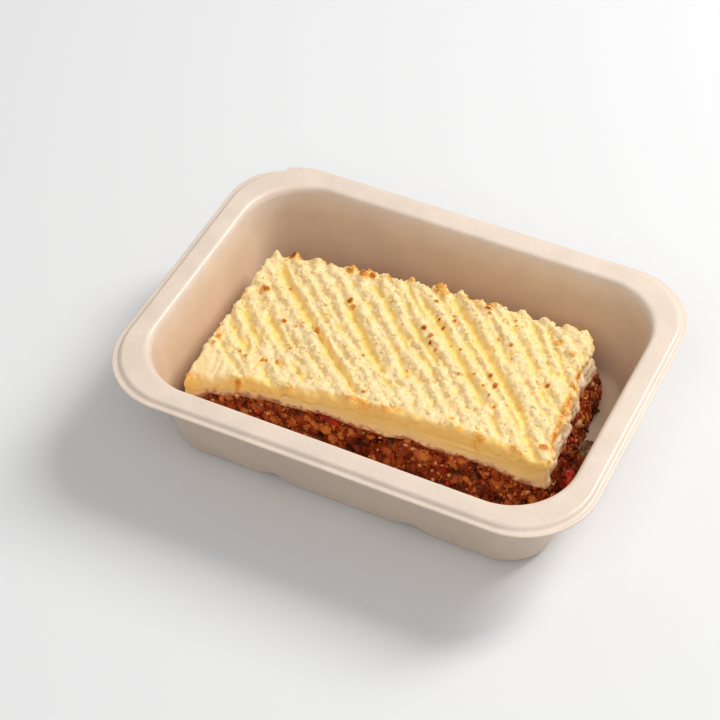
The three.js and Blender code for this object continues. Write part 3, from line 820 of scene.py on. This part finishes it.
MASH_WALL_ROWS = 26
MASH_SINK = 0.9  # how far the mash reaches into the mince
WALL_LEAN = 0.05  # how far the cut sides lean outwards for each millimetre down
PLAN_LENGTH, PLAN_DEPTH = 135, 68  # the plan's mean size
EDGE_ROUNDING = {"front": 3.6, "right": 2.0, "back": 2.2, "left": 2.0}


def smooth_corner(x, y):
    """1 on the patch at the front left that was smoothed with a spoon, 0 elsewhere."""
    return bell(((x + 64) / 9) ** 2 + ((y + 26) / 8) ** 2)


def fork_waves(x, y, flat):
    """Shallow ridges that the fork has left between its deeper strokes."""
    across = (x + y) / math.sqrt(2)
    phase = across / WAVE_PITCH + 0.30 * soft_noise(flat, 13, 14) + 0.10 * soft_noise(flat, 5, 15)
    strength = (0.7 + 0.3 * soft_noise(flat, 11, 16)) * mix(0.35, 1.0, smooth_step(-27, -15, y))
    return WAVE_DEPTH * strength * (1 - smooth_corner(x, y)) * 0.5 * (1 + np.cos(math.tau * phase))


def furrows(x, y, flat):
    """Depth of the fork's furrows and of the curls on the smooth corner."""
    wander = 0.45 * soft_noise(flat, 9, 5) + 0.22 * soft_noise(flat, 3.2, 6)
    return highest([stroke_depths(x, y, FORK_STROKES, wander),
                    stroke_depths(x, y, CORNER_CURLS, 0.3 * wander), fork_waves(x, y, flat)])


def raised_spots(x, y):
    """Height of the little peaks that the oven has coloured."""
    return highest(0.42 * radius * heat * bell(np.hypot(x - spot_x, y - spot_y) / radius)
                   for spot_x, spot_y, radius, heat in TOASTED_SPOTS)


def toast_amount(x, y):
    """How far the oven has coloured each place, from the spots."""
    blur = 0.22 * soft_noise(flat_points(x, y), 1.3, 41)
    return highest(heat * (1 - smooth_step(0.35, 1.25, np.hypot(x - spot_x, y - spot_y) / radius + blur))
                   for spot_x, spot_y, radius, heat in TOASTED_SPOTS)


def rounding(edges, flat):
    """How far the top has turned down near each side."""
    ragged = 1 + 0.45 * soft_noise(flat, 4, 8)
    drops = []
    for side, radius in EDGE_ROUNDING.items():
        reach = radius * ragged
        inside = np.clip(reach - edges[side], 0, None)
        drops.append(reach - np.sqrt(np.maximum(reach ** 2 - inside ** 2, 0)))
    return highest(drops)


def mash_top(settings, along, across):
    """The forked top's points, with how much each is crest and how near it is to the front edge."""
    x, y = slab_plan(along, across).T
    flat = flat_points(x, y)
    edges = {"front": across * PLAN_DEPTH, "back": (1 - across) * PLAN_DEPTH,
             "left": along * PLAN_LENGTH, "right": (1 - along) * PLAN_LENGTH}
    depth = settings.furrow_scale * furrows(x, y, flat)
    height = settings.end_height / MM + settings.crown / MM * (1 - (x / SLAB_HALF_LENGTH) ** 2)
    height = height + 0.75 * soft_noise(flat, 15, 1) - depth
    height = height - 2.0 * np.exp(-(((x + 69) / 11) ** 2 + ((y + 34) / 10) ** 2))
    height = height - rounding(edges, flat) + raised_spots(x, y)
    near_back = np.exp(-edges["back"] / 3.2)
    tips = highest(size * bell((x - place) / 2.3) for place, size in BACK_TIPS) * near_back
    y = y + 1.3 * (tips - 0.5 * near_back)
    margin = 1 - smooth_step(0.9, 3.6, edges["front"] + 1.1 * soft_noise(flat, 3.5, 19))
    margin = margin * (1 - smooth_corner(x, y))
    crest = 1 - smooth_step(0.3, 2.5, depth)
    # The crests are lowered by up to 0.15 over the right half: painted shade that tints them towards the
    # furrow colour.
    crest = crest * (1 - 0.9 * margin) * (1 - 0.15 * smooth_step(-5, 25, x))
    wander = 0.5 * soft_noise(flat, 7, 17) + 0.25 * soft_noise(flat, 2.5, 18)
    y = y + wander * np.exp(-edges["front"] / 2.5)
    x = x + wander * (np.exp(-edges["left"] / 2.5) + 2.6 * np.exp(-edges["right"] / 2.5))
    return np.column_stack([x, y, height + 0.9 * tips]), crest, margin


def closed_block(top, columns, rows):
    """The top with walls down to the boundary and a fan of faces below."""
    rim = rim_of_grid(columns, rows)
    edge = top[rim]
    outward = rim_normals(edge[:, :2])
    right_side = smooth_step(55, 62, edge[:, 0]) * np.clip(outward[:, 0], 0, 1)
    foot = boundary_height(edge[:, 0]) - MASH_SINK
    rings = [rim]
    points = [top]
    below = [np.zeros(len(top))]
    first = len(top)
    for share in (row / MASH_WALL_ROWS for row in range(1, MASH_WALL_ROWS + 1)):
        z = mix(edge[:, 2], foot, share)
        fallen = edge[:, 2] - z
        out = (WALL_LEAN + WALL_LEAN * right_side) * fallen - 0.8 * smooth_step(0.86, 1.0, share)
        points.append(np.column_stack([edge[:, :2] + outward * out[:, None], z]))
        below.append(fallen)
        rings.append(np.arange(first, first + len(rim)))
        first += len(rim)
    points.append(points[-1].mean(axis=0)[None, :])
    below.append([9.0])
    width = columns + 1
    corner = (np.arange(rows)[:, None] * width + np.arange(columns)).ravel()
    quads = [np.stack([corner, corner + 1, corner + width + 1, corner + width], axis=1)]
    quads += [wall_quads(upper, lower) for upper, lower in zip(rings, rings[1:])]
    fan = [[first, int(b), int(a)] for a, b in zip(rings[-1], np.roll(rings[-1], -1))]
    return np.concatenate(points), np.concatenate(quads), fan, np.concatenate(below)


def textured(points, quads, crest, cut, margin):
    """The block with its crumbly crests and smoother cut front, and the gaps between its lumps, for painted
    shade.
    """
    normals = point_normals(points, quads)
    spooned = smooth_corner(points[:, 0], points[:, 1])
    front = cut * np.clip(-normals[:, 1], 0, 1)
    torn = cut * (1 - front)
    forked = mix(0.7, 1.0, smooth_step(0.15, 0.8, crest)) * (1 - 0.65 * spooned) * (1 - 0.45 * margin)
    loose = (1 - cut) * forked + 1.1 * torn + 0.14 * front
    coarse = packed_lumps(points, 3.1, 21)
    fine = packed_lumps(points, 1.6, 31)
    # The gaps only set colour: painted shade between the lumps.
    gaps = np.maximum(smooth_step(0.62, 0.15, coarse), 0.8 * smooth_step(0.55, 0.12, fine))
    grains = 1.2 * (coarse - 0.6) + 0.65 * (fine - 0.6)
    swell = 0.35 * soft_noise(points, 5.5, 2) + 0.16 * soft_noise(points, 1.0, 4)
    knife = 0.22 * front * soft_noise(points * (0.18, 0.18, 1.0), 1.5, 9)
    out = loose * (grains + swell) + 0.22 * soft_noise(points, 9, 3) + knife
    tears = torn * smooth_step(50, 60, points[:, 0]) * 1.3 * soft_noise(points, 4.5, 12)
    return points + normals * (out + tears)[:, None], gaps * np.clip(loose, 0, 1)


def toast_field(points, crest, below):
    """The spots, with golden patches along the slab's upper edges and a streak at the right."""
    x, y = points[:, 0], points[:, 1]
    spots = toast_amount(x, y) * (1 - smooth_step(0.8, 2.6, below))
    flat = points * (1, 1, 0)
    patches = soft_noise(flat, 5.5, 51) + 0.5 * soft_noise(flat, 2.1, 52)
    along = np.clip(share_of_front(x), 0, 1)
    edge = mix(FRONT_LEFT[1], FRONT_RIGHT[1], along) - SIDE_BOW["front"] * np.sin(math.pi * along)
    front = bell(np.abs(y - edge - 2.2) / 2.2) * (1 - smooth_step(0.6, 2.4, below))
    front = front * smooth_step(-0.25, 0.9, patches) * 0.50 * (1 - 0.8 * smooth_corner(x, y))
    back = bell(np.abs(y - 37.0) / 2.4) * crest * smooth_step(-0.5, 0.7, patches) * 0.52
    edge = mix(FRONT_RIGHT[0], BACK_RIGHT[0], np.clip((y + 31) / 67, 0, 1))
    streak = bell((x - edge + 0.8) / 1.15) * (1 - smooth_step(1.2, 3.0, below))
    streak = streak * smooth_step(-26, -16, y) * (1 - smooth_step(16, 22, y))
    return highest([spots, front, back, streak * smooth_step(-0.8, 0.3, patches) * 0.62])


def shade_crumbs(crumbs):
    """Gives the crumbs the fields that the mash's finish reads."""
    tone = np.zeros(len(crumbs.data.vertices), np.float32)
    crumbs.data.attributes["tone"].data.foreach_get("value", tone)
    none = np.zeros(len(tone))
    x, y = (point_places(crumbs) @ FRAME_TURN.T)[:, :2].T
    toast = 0.85 * toast_field(flat_points(x, y), 1, none)
    write_fields(crumbs.data, {
        "crest": 0.55 + 0.45 * tone, "cut": none, "torn": none, "below": none, "above": none + 9,
        "toast": np.maximum(toast, 0.32 * smooth_step(0.9, 1.0, tone))})


def mash_finish(settings, name, through):
    """Moist mash: pale crests, golden furrows, toast and scorch from the toast field."""
    look = Finish(name)
    fine = look.noise(0.55, detail=3, roughness=0.6)
    medium = look.noise(3.2, detail=3)
    crest = look.math("ADD", look.field("crest"), look.span(medium, 0.3, 0.7, -0.30, 0.26), clamp=True)
    # Painted shade: the crest field is lower in the gaps between lumps and over the right half, which brings
    # in the furrow colour.
    body = look.cover(settings.furrow_and_shade_colour, settings.ridge_colour, crest, 0.0, 0.9)
    body = look.cover(body, (0.98, 0.88, 0.62), fine, 0.45, 0.8, 0.0, 0.25)
    body = look.blend(look.product(look.field("margin"), 0.85), body, settings.band_colour)
    pale = look.cover(settings.cut_colour, tinted(settings.cut_colour, 1.12), medium, 0.35, 0.7, 0.0, 0.35)
    pale = look.blend(look.field("torn"), pale, settings.torn_colour)
    pale = look.cover(pale, settings.band_colour, look.field("below"), 0.0, 3.2, 0.85, 0.0)
    ragged_foot = look.span(look.noise(2.2, detail=3), 0.3, 0.7, -1.3, 1.3)
    above = look.math("ADD", look.field("above"), ragged_foot)
    pale = look.cover(pale, settings.foot_colour, above, 0.5, 6.5, 0.85, 0.0)
    cut = look.field("cut")
    body = look.blend(cut, body, pale)
    body = look.cover(body, settings.stain_colour, above, -0.3, 2.6, 0.9, 0.0)
    cells = look.cells(2.6)
    shade = look.add("ShaderNodeSeparateColor", {"Color": cells["Color"]}).outputs["Red"]
    specks = look.math("LESS_THAN", cells["Distance"], look.span(shade, 0.78, 1.0, 0.0, 0.13))
    patchy = look.span(look.noise(17, detail=1), 0.42, 0.62)
    specks = look.product(specks, patchy, 0.48, look.math("SUBTRACT", 1.0, cut))
    toast = look.field("toast")
    ragged = look.span(look.noise(0.8, detail=3), 0.25, 0.75, -0.17, 0.17)
    ragged = look.product(ragged, look.span(toast, 0.05, 0.3))
    toast = look.math("MAXIMUM", look.math("ADD", toast, ragged, clamp=True), specks)
    toasted = look.ramp(toast, (0.0, tinted(settings.golden_colour, 1.1)), (0.45, settings.golden_colour),
                        (0.76, settings.brown_colour), (1.0, settings.scorch_colour))
    body = look.cover(body, toasted, toast, 0.06, 0.48)
    normal = look.bumps((look.cells(0.8, feature="SMOOTH_F1")["Distance"], 0.06), (fine, 0.05))
    look.set(Base_Color=body, Roughness=look.span(fine, 0.3, 0.8, 0.40, 0.62), Normal=normal,
             Specular_IOR_Level=0.4, Subsurface_Weight=through, Subsurface_Scale=0.0015,
             Subsurface_Radius=(1.0, 0.7, 0.45))
    return look.material


class PIE_OT_mash(bpy.types.Operator):
    """Makes the layer of mash, forked into ridges and toasted, with its cut and torn sides"""

    bl_idname = "pie.mash"
    bl_label = "Mashed potato"

    def execute(self, context):
        settings = context.scene.mash
        columns, rows = (round(size / (settings.grid / MM)) for size in (2 * SLAB_HALF_LENGTH, SLAB_WIDTH))
        across, along = np.mgrid[0:1:(rows + 1) * 1j, 0:1:(columns + 1) * 1j].reshape(2, -1)
        top, crest, margin = mash_top(settings, along, across)
        points, quads, fan, below = closed_block(top, columns, rows)
        cut = smooth_step(0.0, 0.9, below)
        walls = np.zeros(len(points) - len(top))
        crest = np.concatenate([crest, walls + 0.2])
        margin = np.concatenate([margin, walls])
        shaped, gaps = textured(points, quads, crest, cut, margin)
        x, y, z = points.T
        crumble = (1 - cut) * (1 - margin) * smooth_step(0.2, 0.9, crest) * (1 - smooth_corner(x, y))
        # Painted shade: the crest field drops in the gaps between lumps, towards the furrow colour.
        fields = {"crest": crest * (1 - 0.8 * gaps), "cut": cut, "margin": margin, "crumble": crumble,
                  "above": z - boundary_height(x), "below": below,
                  "torn": cut * smooth_step(60, 64, x) * smooth_step(-32, -27, y),
                  "toast": toast_field(points, crest, below)}
        mash = mesh_piece("mash_slab", to_frame(shaped), quads.tolist() + fan,
                          mash_finish(settings, "mashed_potato", 0.5), fields)
        crumbs = scattered("mash_crumbs", mash, mash_finish(settings, "mash_crumbs", 0.0),
                           density=settings.crumb_density, seed=11, smallest=0.6, largest=1.8,
                           stretch=0.4, lift=-0.18, unevenness=0.5, segments=7, rings=4)
        shade_crumbs(crumbs)
        settle(mash, "mashed_potato", "mash_layer")
        settle(crumbs, "mashed_potato")
        return {"FINISHED"}


# ---- the mince


class MinceSettings(bpy.types.PropertyGroup):
    grid: length_property("Grid", "Spacing of the surface's points", 0.0005)
    sauce_colour: colour_property("Sauce", "Dark sauce in the gaps", (0.10, 0.010, 0.001))
    meat_colour: colour_property("Meat", "Cooked minced meat", (0.38, 0.054, 0.006))
    tan_colour: colour_property("Tan", "The palest minced meat", (0.66, 0.205, 0.042))
    red_colour: colour_property("Red", "Bits of tomato and pepper", (0.42, 0.020, 0.006))
    herb_colour: colour_property("Herb", "Olive-green bits", (0.16, 0.085, 0.014))
    pale_colour: colour_property("Pale", "Granules and bits of onion", (0.68, 0.34, 0.16))
    lump_density: number_property("Lumps", "Lumps of meat for each square centimetre", 15.0, min=0.0)
    crumb_density: number_property("Crumbs", "Crumbs of meat for each square centimetre", 26.0, min=0.0)


MINCE_WALL_ROWS = 36
MINCE_GLOSS = {"Specular_IOR_Level": 0.14, "Coat_Weight": 0.10, "Coat_Roughness": 0.08}


def sauce_finish(settings):
    """The glossy mass of mince and sauce behind the separate crumbs."""
    look = Finish("mince_sauce")
    grain = look.noise(1.4, detail=4, roughness=0.62)
    patch = look.noise(5, detail=2)
    colour = look.cover(settings.sauce_colour, settings.meat_colour, grain, 0.36, 0.66)
    colour = look.cover(colour, settings.tan_colour, patch, 0.52, 0.68, 0.0, 0.55)
    # Painted shade: the sauce darkens to a third in the hollows and between the lumps.
    painted_shade_colour = tinted(settings.sauce_colour, 0.35)
    colour = look.cover(colour, painted_shade_colour, look.field("hollow"), 0.25, 0.85, 0.0, 0.85)
    look.set(Base_Color=colour, Roughness=look.span(grain, 0.3, 0.7, 0.20, 0.38),
             Normal=look.bumps((grain, 0.35)), **MINCE_GLOSS)
    return look.material


def crumb_finish(name, dark, middle, light, roughness):
    """A wet crumb whose colour runs from dark to light with its own tone, with painted shade towards the
    right end.
    """
    look = Finish(name)
    grain = look.noise(0.7, detail=3)
    patch = look.span(look.noise(6.5, detail=1), 0.36, 0.64, -0.30, 0.22)
    reach = look.add("ShaderNodeSeparateXYZ", {"Vector": look.place}).outputs["X"]
    # Painted shade: the colour darkens towards the right end, from X 64 to 70 mm.
    patch = look.math("ADD", patch, look.span(reach, 64 * MM, 70 * MM, 0.0, -0.3))
    tone = look.math("ADD", look.field("tone"), patch)
    tone = look.math("ADD", tone, look.span(grain, 0.25, 0.75, -0.24, 0.24), clamp=True)
    look.set(Base_Color=look.ramp(tone, (0.0, dark), (0.55, middle), (1.0, light)),
             Roughness=look.span(grain, 0.3, 0.7, roughness, roughness + 0.16),
             Normal=look.bumps((grain, 0.22)), **MINCE_GLOSS)
    return look.material


def mince_lumps(points):
    """How far the mince stands out at each point, and how much painted shade it gets between the lumps and in
    pits there.
    """
    coarse = packed_lumps(points, 5.2, 61)
    middle = packed_lumps(points, 2.6, 71)
    fine = packed_lumps(points, 1.3, 81)
    pits = smooth_step(0.25, 0.75, soft_noise(points, 4.4, 91))
    out = 1.5 * (coarse - 0.6) + 0.8 * (middle - 0.6) + 0.35 * (fine - 0.6) - 1.5 * pits
    return out, np.clip(0.75 - 0.6 * coarse - 0.35 * middle + 0.6 * pits, 0, 1)


def mince_core(settings):
    """The mass of mince behind the crumbs, cut in front and spread at the torn end."""
    columns, rows = (round(size / (settings.grid / MM)) for size in (2 * SLAB_HALF_LENGTH, SLAB_WIDTH))
    s, t = (np.linspace(0, 1, steps, endpoint=False) for steps in (columns, rows))
    rim = slab_plan(np.concatenate([s, np.ones(rows), 1 - s, np.zeros(rows)]),
                    np.concatenate([np.zeros(columns), t, np.ones(columns), 1 - t]))
    x, y = rim.T
    outward = rim_normals(rim)
    right_side = smooth_step(52, 62, x) * np.clip(outward[:, 0], 0, 1)
    front_side = smooth_step(-20, 10, x) * np.clip(-outward[:, 1], 0, 1)
    beside = smooth_step(-27, -21, y) * (1 - smooth_step(7, 12, y))  # along the loose pieces
    points = []
    for row in range(MINCE_WALL_ROWS + 1):
        z = mix(boundary_height(x) - 0.2, MINCE_FLOOR, row / MINCE_WALL_ROWS)
        share = 1 - z / 27
        spread = mix(0.9 + 3.6 * share, 1.3 + 2.2 * share, beside)
        out = -1.1 + (0.9 + 2.2 * front_side) * share + right_side * spread
        points.append(np.column_stack([rim + outward * out[:, None], z]))
    points = np.concatenate(points)
    count = len(rim)
    order = np.arange(count)
    quads = np.concatenate([wall_quads(order + row * count, order + (row + 1) * count)
                            for row in range(MINCE_WALL_ROWS)])
    x, y, z = points.T
    pits = highest(bell(np.hypot(x - place, z - height) / radius)
                   for place, height, radius in FRONT_HOLLOWS) * (y < -15)
    out, hollow = mince_lumps(points)
    shaped = points + point_normals(points, quads) * (out - 2.6 * pits)[:, None]
    in_tray = to_frame(shaped) / MM
    limit = TRAY_SIZE.x / 2 - tray_inset(in_tray[:, 2], *CORE_KEEPS_OFF)
    shaped[:, 0] -= np.clip(in_tray[:, 0] - limit, 0, None)
    low = len(points)
    last = MINCE_WALL_ROWS * count
    shaped = np.concatenate([shaped, [[-2, 2, MINCE_FLOOR], [-2, 2, 20.5]]])
    fan = [[low, last + (k + 1) % count, last + k] for k in range(count)]
    fan += [[low + 1, k, (k + 1) % count] for k in range(count)]
    crumble = 1 - smooth_step(0.2, 0.5, pits)
    crumble *= 1 - 0.65 * (x > 60) * (z < 10) * (np.abs(y + 7) < 19)
    crumble[:count] = crumble[last:] = 0
    # The front hollows join the gaps between lumps in the painted shade.
    fields = {"hollow": np.append(np.maximum(hollow, pits), [0, 0]), "crumble": np.append(crumble, [0, 0])}
    return mesh_piece("mince_core", to_frame(shaped), quads.tolist() + fan, sauce_finish(settings), fields)


def front_bits(kind, numbers, material):
    """The bits of one kind in the mince's cut front, each made uneven by its own number."""
    unit, unit_faces = unit_ball(28, 16)
    points = []
    faces = []
    tones = []
    for x, z, length, width, lean, tone in FRONT_BITS[kind]:
        number = next(numbers)
        centre = np.append(slab_plan(np.array([share_of_front(x)]), np.array([0.0]))[0], z)
        centre[1] += 0.25 * width
        size = np.array([length, 0.8 * min(length, width), width]) / 2
        bumpy = 1 + 0.22 * (packed_lumps(unit * size + number * 9, 0.42 * width + 0.4, 150) - 0.6)
        bumpy += 0.10 * soft_noise(unit * size + number * 5, 0.8, 151)
        across, up = math.cos(math.radians(lean)), math.sin(math.radians(lean))
        tilt = np.array([[across, 0, up], [0, 1, 0], [-up, 0, across]])
        faces += [[len(tones) + corner for corner in face] for face in unit_faces]
        points.append(unit * size * bumpy[:, None] @ tilt + centre)
        tones += [tone] * len(unit)
    return mesh_piece("front_" + kind, to_frame(np.concatenate(points)), faces, material, {"tone": tones})


class PIE_OT_mince(bpy.types.Operator):
    """Makes the layer of minced meat: a core with separate lumps, crumbs and vegetable bits"""

    bl_idname = "pie.mince"
    bl_label = "Minced meat"

    def execute(self, context):
        settings = context.scene.mince
        core = mince_core(settings)
        settle(core, "minced_meat", "mince_layer")
        sauce, meat, tan, red, herb, pale = (getattr(settings, name + "_colour") for name in (
            "sauce", "meat", "tan", "red", "herb", "pale"))
        looks = {
            "mince_crumbs": (sauce, meat, tan, 0.22),
            "onion_bits": (meat, tan, pale, 0.24),
            "red_bits": (tinted(red, 0.4), red, tinted(red, 1.5), 0.2),
            "pale_granules": (tan, pale, tinted(pale, 1.3), 0.28),
            "herb_bits": (sauce, herb, tinted(herb, 1.4), 0.3),
        }
        looks = {name: crumb_finish(name, *values) for name, values in looks.items()}
        # piece, finish, slot, then density, seed, sizes, stretch, lift, unevenness and mesh detail
        for name, look, slot, *values in (
                ("mince_lumps", "mince_crumbs", "minced_meat",
                 settings.lump_density, 5, 1.4, 5.0, 0.68, -0.26, 0.75, 10, 7),
                ("mince_crumbs", "mince_crumbs", "minced_meat",
                 settings.crumb_density, 17, 0.6, 1.7, 0.38, 0.05, 0.45),
                ("onion_bits", "onion_bits", "cooked_onion", 0.55, 31, 2.2, 5.2, 0.55, -0.05, 0.3),
                ("red_bits", "red_bits", "red_pepper", 0.7, 37, 1.6, 3.6, 0.45, -0.05, 0.3),
                ("pale_granules", "pale_granules", "minced_meat", 3.2, 43, 0.9, 1.9, 0.15, 0.12, 0.3)):
            settle(hold_in_tray(scattered(name, core, looks[look], *values)), slot)
        numbers = itertools.count()
        for kind, look, slot in (
                ("onion", "onion_bits", "cooked_onion"), ("meat", "mince_crumbs", "minced_meat"),
                ("pepper", "red_bits", "red_pepper"), ("herb", "herb_bits", "minced_meat"),
                ("granule", "pale_granules", "minced_meat")):
            settle(front_bits(kind, numbers, looks[look]), slot)
        return {"FINISHED"}


# ---- the loose pieces


class LoosePieceSettings(bpy.types.PropertyGroup):
    pepper_colour: colour_property("Pepper", "Flesh of the cooked red pepper", (0.80, 0.030, 0.014))
    rim_colour: colour_property("Rim", "The pepper's thin, lighter rim", (0.75, 0.09, 0.03))
    onion_colour: colour_property("Onion", "Onion stained by the sauce", (0.25, 0.12, 0.045))


def soft_veg_finish(name, body, light, roughness, through):
    """Soft, wet vegetable: a body colour that lightens on its raised folds."""
    look = Finish(name)
    grain = look.noise(1.1, detail=3)
    colour = look.cover(tinted(body, 0.65), body, look.noise(3.4, detail=2), 0.35, 0.75)
    colour = look.cover(colour, light, look.field("fold"), 0.45, 1.0, 0.0, 0.9)
    colour = look.cover(colour, tinted(light, 1.1), grain, 0.56, 0.74, 0.0, 0.5)
    look.set(Base_Color=colour, Roughness=roughness, Normal=look.bumps((grain, 0.25)),
             Specular_IOR_Level=0.25, Subsurface_Weight=through, Subsurface_Scale=0.0015,
             Coat_Weight=0.15, Coat_Roughness=0.12)
    return look.material


def uneven_piece(name, node, material, fold_size, fold_depth, seed):
    """A lump that fills a CAD node's box, folded and uneven all over."""
    low, high = (np.array(corner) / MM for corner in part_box(node))
    half = (high - low) / 2
    unit, faces = unit_ball(72, 36)
    fold = packed_lumps(unit * half, fold_size, seed)
    out = 1 + fold_depth * (fold - 0.6) + 0.10 * soft_noise(unit * half, 1.6, seed + 7)
    out = out + 0.05 * soft_noise(unit * half, 0.7, seed + 9)
    boxy = unit / np.linalg.norm(unit, ord=4, axis=1)[:, None]
    shaped = (low + high) / 2 + mix(unit, boxy, 0.6) * half * np.minimum(out, 1.06)[:, None]
    shaped[:, 2] = np.maximum(shaped[:, 2], low[2])
    return mesh_piece(name, shaped * MM, faces, material, {"fold": fold, "crumble": np.ones(len(unit))})


class PIE_OT_loose_pieces(bpy.types.Operator):
    """Makes the pepper, onion and mince that lie loose at the pie's right end"""

    bl_idname = "pie.loose_pieces"
    bl_label = "Loose pieces"

    def execute(self, context):
        settings = context.scene.loose_pieces
        glassy = tinted(context.scene.mince.pale_colour, 0.6)
        pepper = soft_veg_finish("red_pepper", settings.pepper_colour, settings.rim_colour, 0.24, 0.0)
        onion = soft_veg_finish("cooked_onion", settings.onion_colour, glassy, 0.18, 0.3)
        sauce, meat = (bpy.data.materials[name] for name in ("mince_sauce", "mince_crumbs"))
        for name, node, slot, *values in (
                ("pepper_chunk", "red_pepper_chunk", "red_pepper", pepper, 3.4, 0.55, 101),
                ("pepper_sliver", "red_pepper_sliver", "red_pepper", pepper, 2.6, 0.4, 113),
                ("onion_piece", "onion_chunk", "cooked_onion", onion, 3.0, 0.5, 127),
                ("loose_mince_core", "loose_mince", "minced_meat", sauce, 2.2, 0.7, 131)):
            piece = uneven_piece(name, node, *values)
            settle(piece, slot, node)
        crumbs = scattered("loose_mince_crumbs", piece, meat, density=90, seed=29, smallest=0.8,
                           largest=2.6, stretch=0.35, lift=-0.1, unevenness=0.4)
        settle(hold_in_tray(crumbs), "minced_meat")
        return {"FINISHED"}


# ---- the stage


def angle_property(name, description, degrees):
    return number_property(name, description, math.radians(degrees), subtype="ANGLE", unit="ROTATION")


def power_property(name, description, default):
    return number_property(name, description, default, min=0.0, unit="POWER")


class StageSettings(bpy.types.PropertyGroup):
    azimuth: angle_property("Azimuth", "Turn of the camera from the front towards the right", 27.62)
    elevation: angle_property("Elevation", "Angle of the camera above the table", 46.89)
    roll: angle_property("Roll", "Lean of the camera", -1.87)
    distance: length_property("Distance", "From the camera to the point it looks at", 0.8098)
    aim: FloatVectorProperty(name="Aim", description="Point on the table that the camera looks at",
                             default=(-0.0265, 0.0181, 0.0), subtype="TRANSLATION", unit="LENGTH", size=3)
    lens: number_property("Lens", "Focal length on a 36 mm sensor, in millimetres", 104.43, min=1.0)
    floor_colour: colour_property("Floor", "The plain pale floor", (0.80, 0.80, 0.80))
    key_power: power_property("Key light", "Power of the large soft light", 15.6)
    fill_power: power_property("Fill light", "Power of the light from the front", 8.4)
    sky: number_property("Sky", "Strength of the even light from all round", 0.36, min=0.0)


# Each light's direction from the pie, its distance and its size in metres.
KEY_LIGHT = ((0.48, 0.62, 0.85), 1.4, (0.35, 0.78))
FILL_LIGHT = ((0.15, -0.62, 0.90), 1.8, (1.3, 1.3))
FLOOR_REACH = 4.0  # metres from the middle of the floor to each of its edges


def make_floor(settings):
    look = Finish("pale_floor")
    pale, light = (tinted(settings.floor_colour, share) for share in (0.99, 1.01))
    look.set(Base_Color=look.blend(look.noise(400, detail=0), pale, light), Roughness=0.9)
    corners = np.array([[-1, -1, 0], [1, -1, 0], [1, 1, 0], [-1, 1, 0]]) * FLOOR_REACH
    floor = mesh_piece("floor", corners, [[0, 1, 2, 3]], look.material, {})


def make_light(name, power, direction, distance, size):
    light = bpy.data.lights.new(name, "AREA")
    light.energy = power
    light.shape = "RECTANGLE"
    light.size, light.size_y = size
    direction = Vector(direction).normalized()
    lamp = placed(name, light)
    lamp.location = direction * distance
    lamp.rotation_euler = direction.to_track_quat("Z", "Y").to_euler()


def make_camera(settings):
    turn, rise, roll = settings.azimuth, settings.elevation, settings.roll
    back = Vector((math.sin(turn) * math.cos(rise), -math.cos(turn) * math.cos(rise), math.sin(rise)))
    level = Vector((math.cos(turn), math.sin(turn), 0))
    upright = back.cross(level)
    right = level * math.cos(roll) + upright * math.sin(roll)
    up = upright * math.cos(roll) - level * math.sin(roll)
    data = bpy.data.cameras.new("Camera")
    data.lens = settings.lens
    data.sensor_width = 36.0
    place = Matrix((right, up, back)).transposed().to_4x4()
    place.translation = Vector(settings.aim) + back * settings.distance
    camera = placed("Camera", data)
    camera.matrix_world = place
    return camera


class PIE_OT_stage(bpy.types.Operator):
    """Makes the pale floor, the soft studio light and the camera"""

    bl_idname = "pie.stage"
    bl_label = "Stage"

    def execute(self, context):
        scene = context.scene
        settings = scene.stage
        make_floor(settings)
        make_light("Key light", settings.key_power, *KEY_LIGHT)
        make_light("Fill light", settings.fill_power, *FILL_LIGHT)
        scene.world = bpy.data.worlds.new("Studio")
        scene.world.use_nodes = True
        sky = scene.world.node_tree.nodes["Background"].inputs
        sky["Color"].default_value = (1.0, 1.0, 1.0, 1.0)
        sky["Strength"].default_value = settings.sky
        scene.view_settings.view_transform = "Standard"
        scene.camera = make_camera(settings)
        return {"FINISHED"}


# ---- the panel and the run

OPERATORS = (PIE_OT_tray, PIE_OT_mash, PIE_OT_mince, PIE_OT_loose_pieces, PIE_OT_stage)
SETTINGS = {
    "fibre_tray": FibreTraySettings,
    "mash": MashSettings,
    "mince": MinceSettings,
    "loose_pieces": LoosePieceSettings,
    "stage": StageSettings,
}


class PIE_PT_sidebar(bpy.types.Panel):
    """Lists the pieces of the pie portion and their sizes and colours"""

    bl_idname = "PIE_PT_sidebar"
    bl_label = "Pie portion"
    bl_space_type = "VIEW_3D"
    bl_region_type = "UI"
    bl_category = "Pie"

    def draw(self, context):
        for operator, name in zip(OPERATORS, SETTINGS):
            box = self.layout.box()
            box.operator(operator.bl_idname)
            settings = getattr(context.scene, name)
            for key in settings.__annotations__:
                box.prop(settings, key)


CLASSES = (*SETTINGS.values(), *OPERATORS, PIE_PT_sidebar)


def register():
    for each in CLASSES:
        bpy.utils.register_class(each)
    for name, settings in SETTINGS.items():
        setattr(bpy.types.Scene, name, PointerProperty(type=settings))


def unregister():
    for name in SETTINGS:
        delattr(bpy.types.Scene, name)
    for each in reversed(CLASSES):
        bpy.utils.unregister_class(each)


def main():
    register()
    bpy.ops.pie.tray()
    bpy.ops.pie.mash()
    bpy.ops.pie.mince()
    bpy.ops.pie.loose_pieces()
    bpy.ops.pie.stage()


if __name__ == "__main__":
    main()
